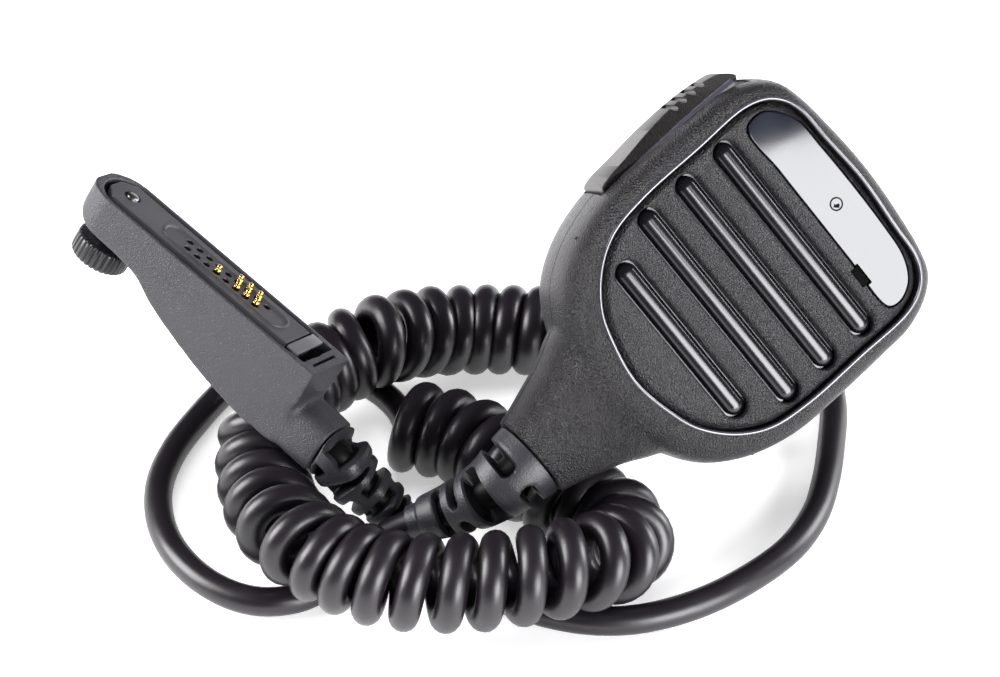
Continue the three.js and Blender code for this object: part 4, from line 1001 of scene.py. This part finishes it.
# the seal is a real part; its near-black finish makes the gap round the contact plate read dark, painted shade
place(seal, PLUG, "microphone", "rubber", "painted_shade_black", "plug_seal")
catch = block("connector_catch", 52.4, 53.3, -4.0, 4.0, -4.8, 0.2, 0.12)
join(catch, block("c", 51.7, 54.4, -4.9, 4.9, -0.35, 0.35, 0.16))
place(catch, PLUG, "microphone", "steel", "catch", "plug_catch")
TEETH = 30
knob_wave = lambda a, r, z: r - (0.34 * np.clip(0.62 - 1.25 * np.abs(((a * TEETH / (2 * math.pi)) % 1.0) * 2 - 1), 0, 0.5) * 2 if r > 5.0 else 0.0)
knob = lathe("knurled_knob", [(1.85, -15.4), (4.7, -15.45), (4.95, -15.4), (5.6, -15.25), (5.95, -14.95), (6.05, -14.5), (6.05, -11.4), (5.95, -10.9), (5.6, -10.65), (4.9, -10.5), (1.85, -10.5), (1.85, -15.4)], 7, 0, TEETH * 14, knob_wave)
place(knob, PLUG, "thumb_screw", "connector_plastic", "knob", "thumb_knob", angle=50)
THREAD = 0.5
screw_profile = [(0, -15.1), (1.3, -15.1), (1.4, -15.0)] + [(1.4, z) for z in np.arange(-14.9, 0.34, 0.05)] + [(1.2, 0.45), (1.0, 0.6), (0, 0.6)]
screw_wave = lambda a, r, z: np.full(len(a), r) if not -6 < z < 0.34 else r - 0.26 * np.abs(((z / THREAD - a / (2 * math.pi)) % 1.0) * 2 - 1)
screw = lathe("connector_screw", screw_profile, 7, 0, 48, screw_wave)
place(screw, PLUG, "thumb_screw", "steel", "screw", "knob_screw", angle=80)

# ------------------------------------------------------------------ pieces that stay as the CAD has them
KEPT = {
    "cover_seal_long": "rubber", "cover_seal_short": "rubber", "speaker_gasket": "rubber", "speaker_cone": "cone", "speaker_frame": "steel",
    "circuit_board": "board", "mic_capsule": "aluminium", "mic_boot": "rubber", "ptt_hinge_pin": "steel", "ptt_seal": "rubber",
    # contact_block takes the black rubber so the floors of the contact holes read dark: painted shade
    "switch_plunger": "gloss", "ptt_switch": "aluminium", "cable_clamp": "steel", "contact_block": "rubber", "plug_board": "board", "screw_washer": "steel",
}
for name, mat in KEPT.items():
    ob = nodes[name]
    ob.data.materials.clear()
    ob.data.materials.append(MAT[mat])
    if name not in ("cover_seal_long", "cover_seal_short"):
        b = ob.modifiers.new("edges", "BEVEL")
        b.width = 0.00015
        b.segments = 2
        b.limit_method = "ANGLE"
        b.angle_limit = math.radians(40)

# ------------------------------------------------------------------ floor and light
bm = bmesh.new()
bmesh.ops.create_grid(bm, x_segments=2, y_segments=2, size=3.0)
floor_mesh = bpy.data.meshes.new("floor")
bm.to_mesh(floor_mesh)
bm.free()
floor = bpy.data.objects.new("floor", floor_mesh)
scene.collection.objects.link(floor)
white = material("floor_white", (0.86, 0.855, 0.865), 0.55, grain=300, bump=0.00001, strength=0.1, tint=0.01, spread=0.05, specular=0.2)
glow = next(n for n in white.node_tree.nodes if n.type == "BSDF_PRINCIPLED")
glow.inputs["Emission Color"].default_value = (1, 0.995, 0.99, 1)
glow.inputs["Emission Strength"].default_value = 0.46
floor_mesh.materials.append(white)
floor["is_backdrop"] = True

world = bpy.data.worlds.new("studio")
scene.world = world
world.use_nodes = True
world.node_tree.nodes["Background"].inputs[0].default_value = (0.95, 0.96, 1.0, 1)
world.node_tree.nodes["Background"].inputs[1].default_value = 0.09


def softbox(name, where, target, w, h, power, colour=(1, 1, 1)):
    data = bpy.data.lights.new(name, "AREA")
    data.shape = "RECTANGLE"
    data.size, data.size_y = w, h
    data.energy = power
    data.color = colour
    ob = bpy.data.objects.new(name, data)
    ob.location = where
    ob.rotation_euler = (Vector(target) - Vector(where)).to_track_quat("-Z", "Y").to_euler()
    scene.collection.objects.link(ob)
    return ob


def mirrored_way(local):
    """Where the camera's line of sight goes on after it meets the microphone's face at a local point."""
    p = through(MIC, local)[0]
    v = EYE - p
    v /= np.linalg.norm(v)
    n = np.array(MIC_TURN[2])
    return p / 1000.0, 2 * (n @ v) * n - v


top = softbox("top_light", (-0.1, 0.3, 1.2), (0, 0, 0), 1.6, 1.3, 24)
top.visible_glossy = False
softbox("left_light", (-1.0, 0.0, 0.5), (0, 0, 0.04), 0.6, 0.7, 23, (1.0, 0.985, 1.0))
softbox("right_light", (1.1, 0.35, 0.40), (0, 0, 0.03), 0.5, 0.6, 16, (0.97, 0.97, 1.0))
# the key light's left edge is mirrored across the label plate, where the photographed reflection ends
DISTANCE, BOX = 1.1, 0.66
pa, ra = mirrored_way((-17.07, 20.35, -0.45))
pb, rb = mirrored_way((-13.68, 29.0, -0.45))
pm, rm = mirrored_way((0, 10, -0.45))
ha, hb, hm = pa + DISTANCE * ra, pb + DISTANCE * rb, pm + DISTANCE * rm
ey = hb - ha
ey -= (ey @ rm) * rm
ey /= np.linalg.norm(ey)
ex = np.cross(ey, rm)
if ex @ (hm - ha) < 0:
    ex = -ex
spot = ha + ex * BOX / 2
spot = spot + ey * ((hm - spot) @ ey)
key = softbox("key_light", tuple(spot), (0, 0, 0), BOX, BOX, 27, (0.985, 0.985, 1.0))
key.rotation_euler = Matrix(np.c_[np.cross(ey, rm), ey, rm].tolist()).to_euler()
scene.view_settings.view_transform = "Standard"

# ------------------------------------------------------------------ done
low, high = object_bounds()
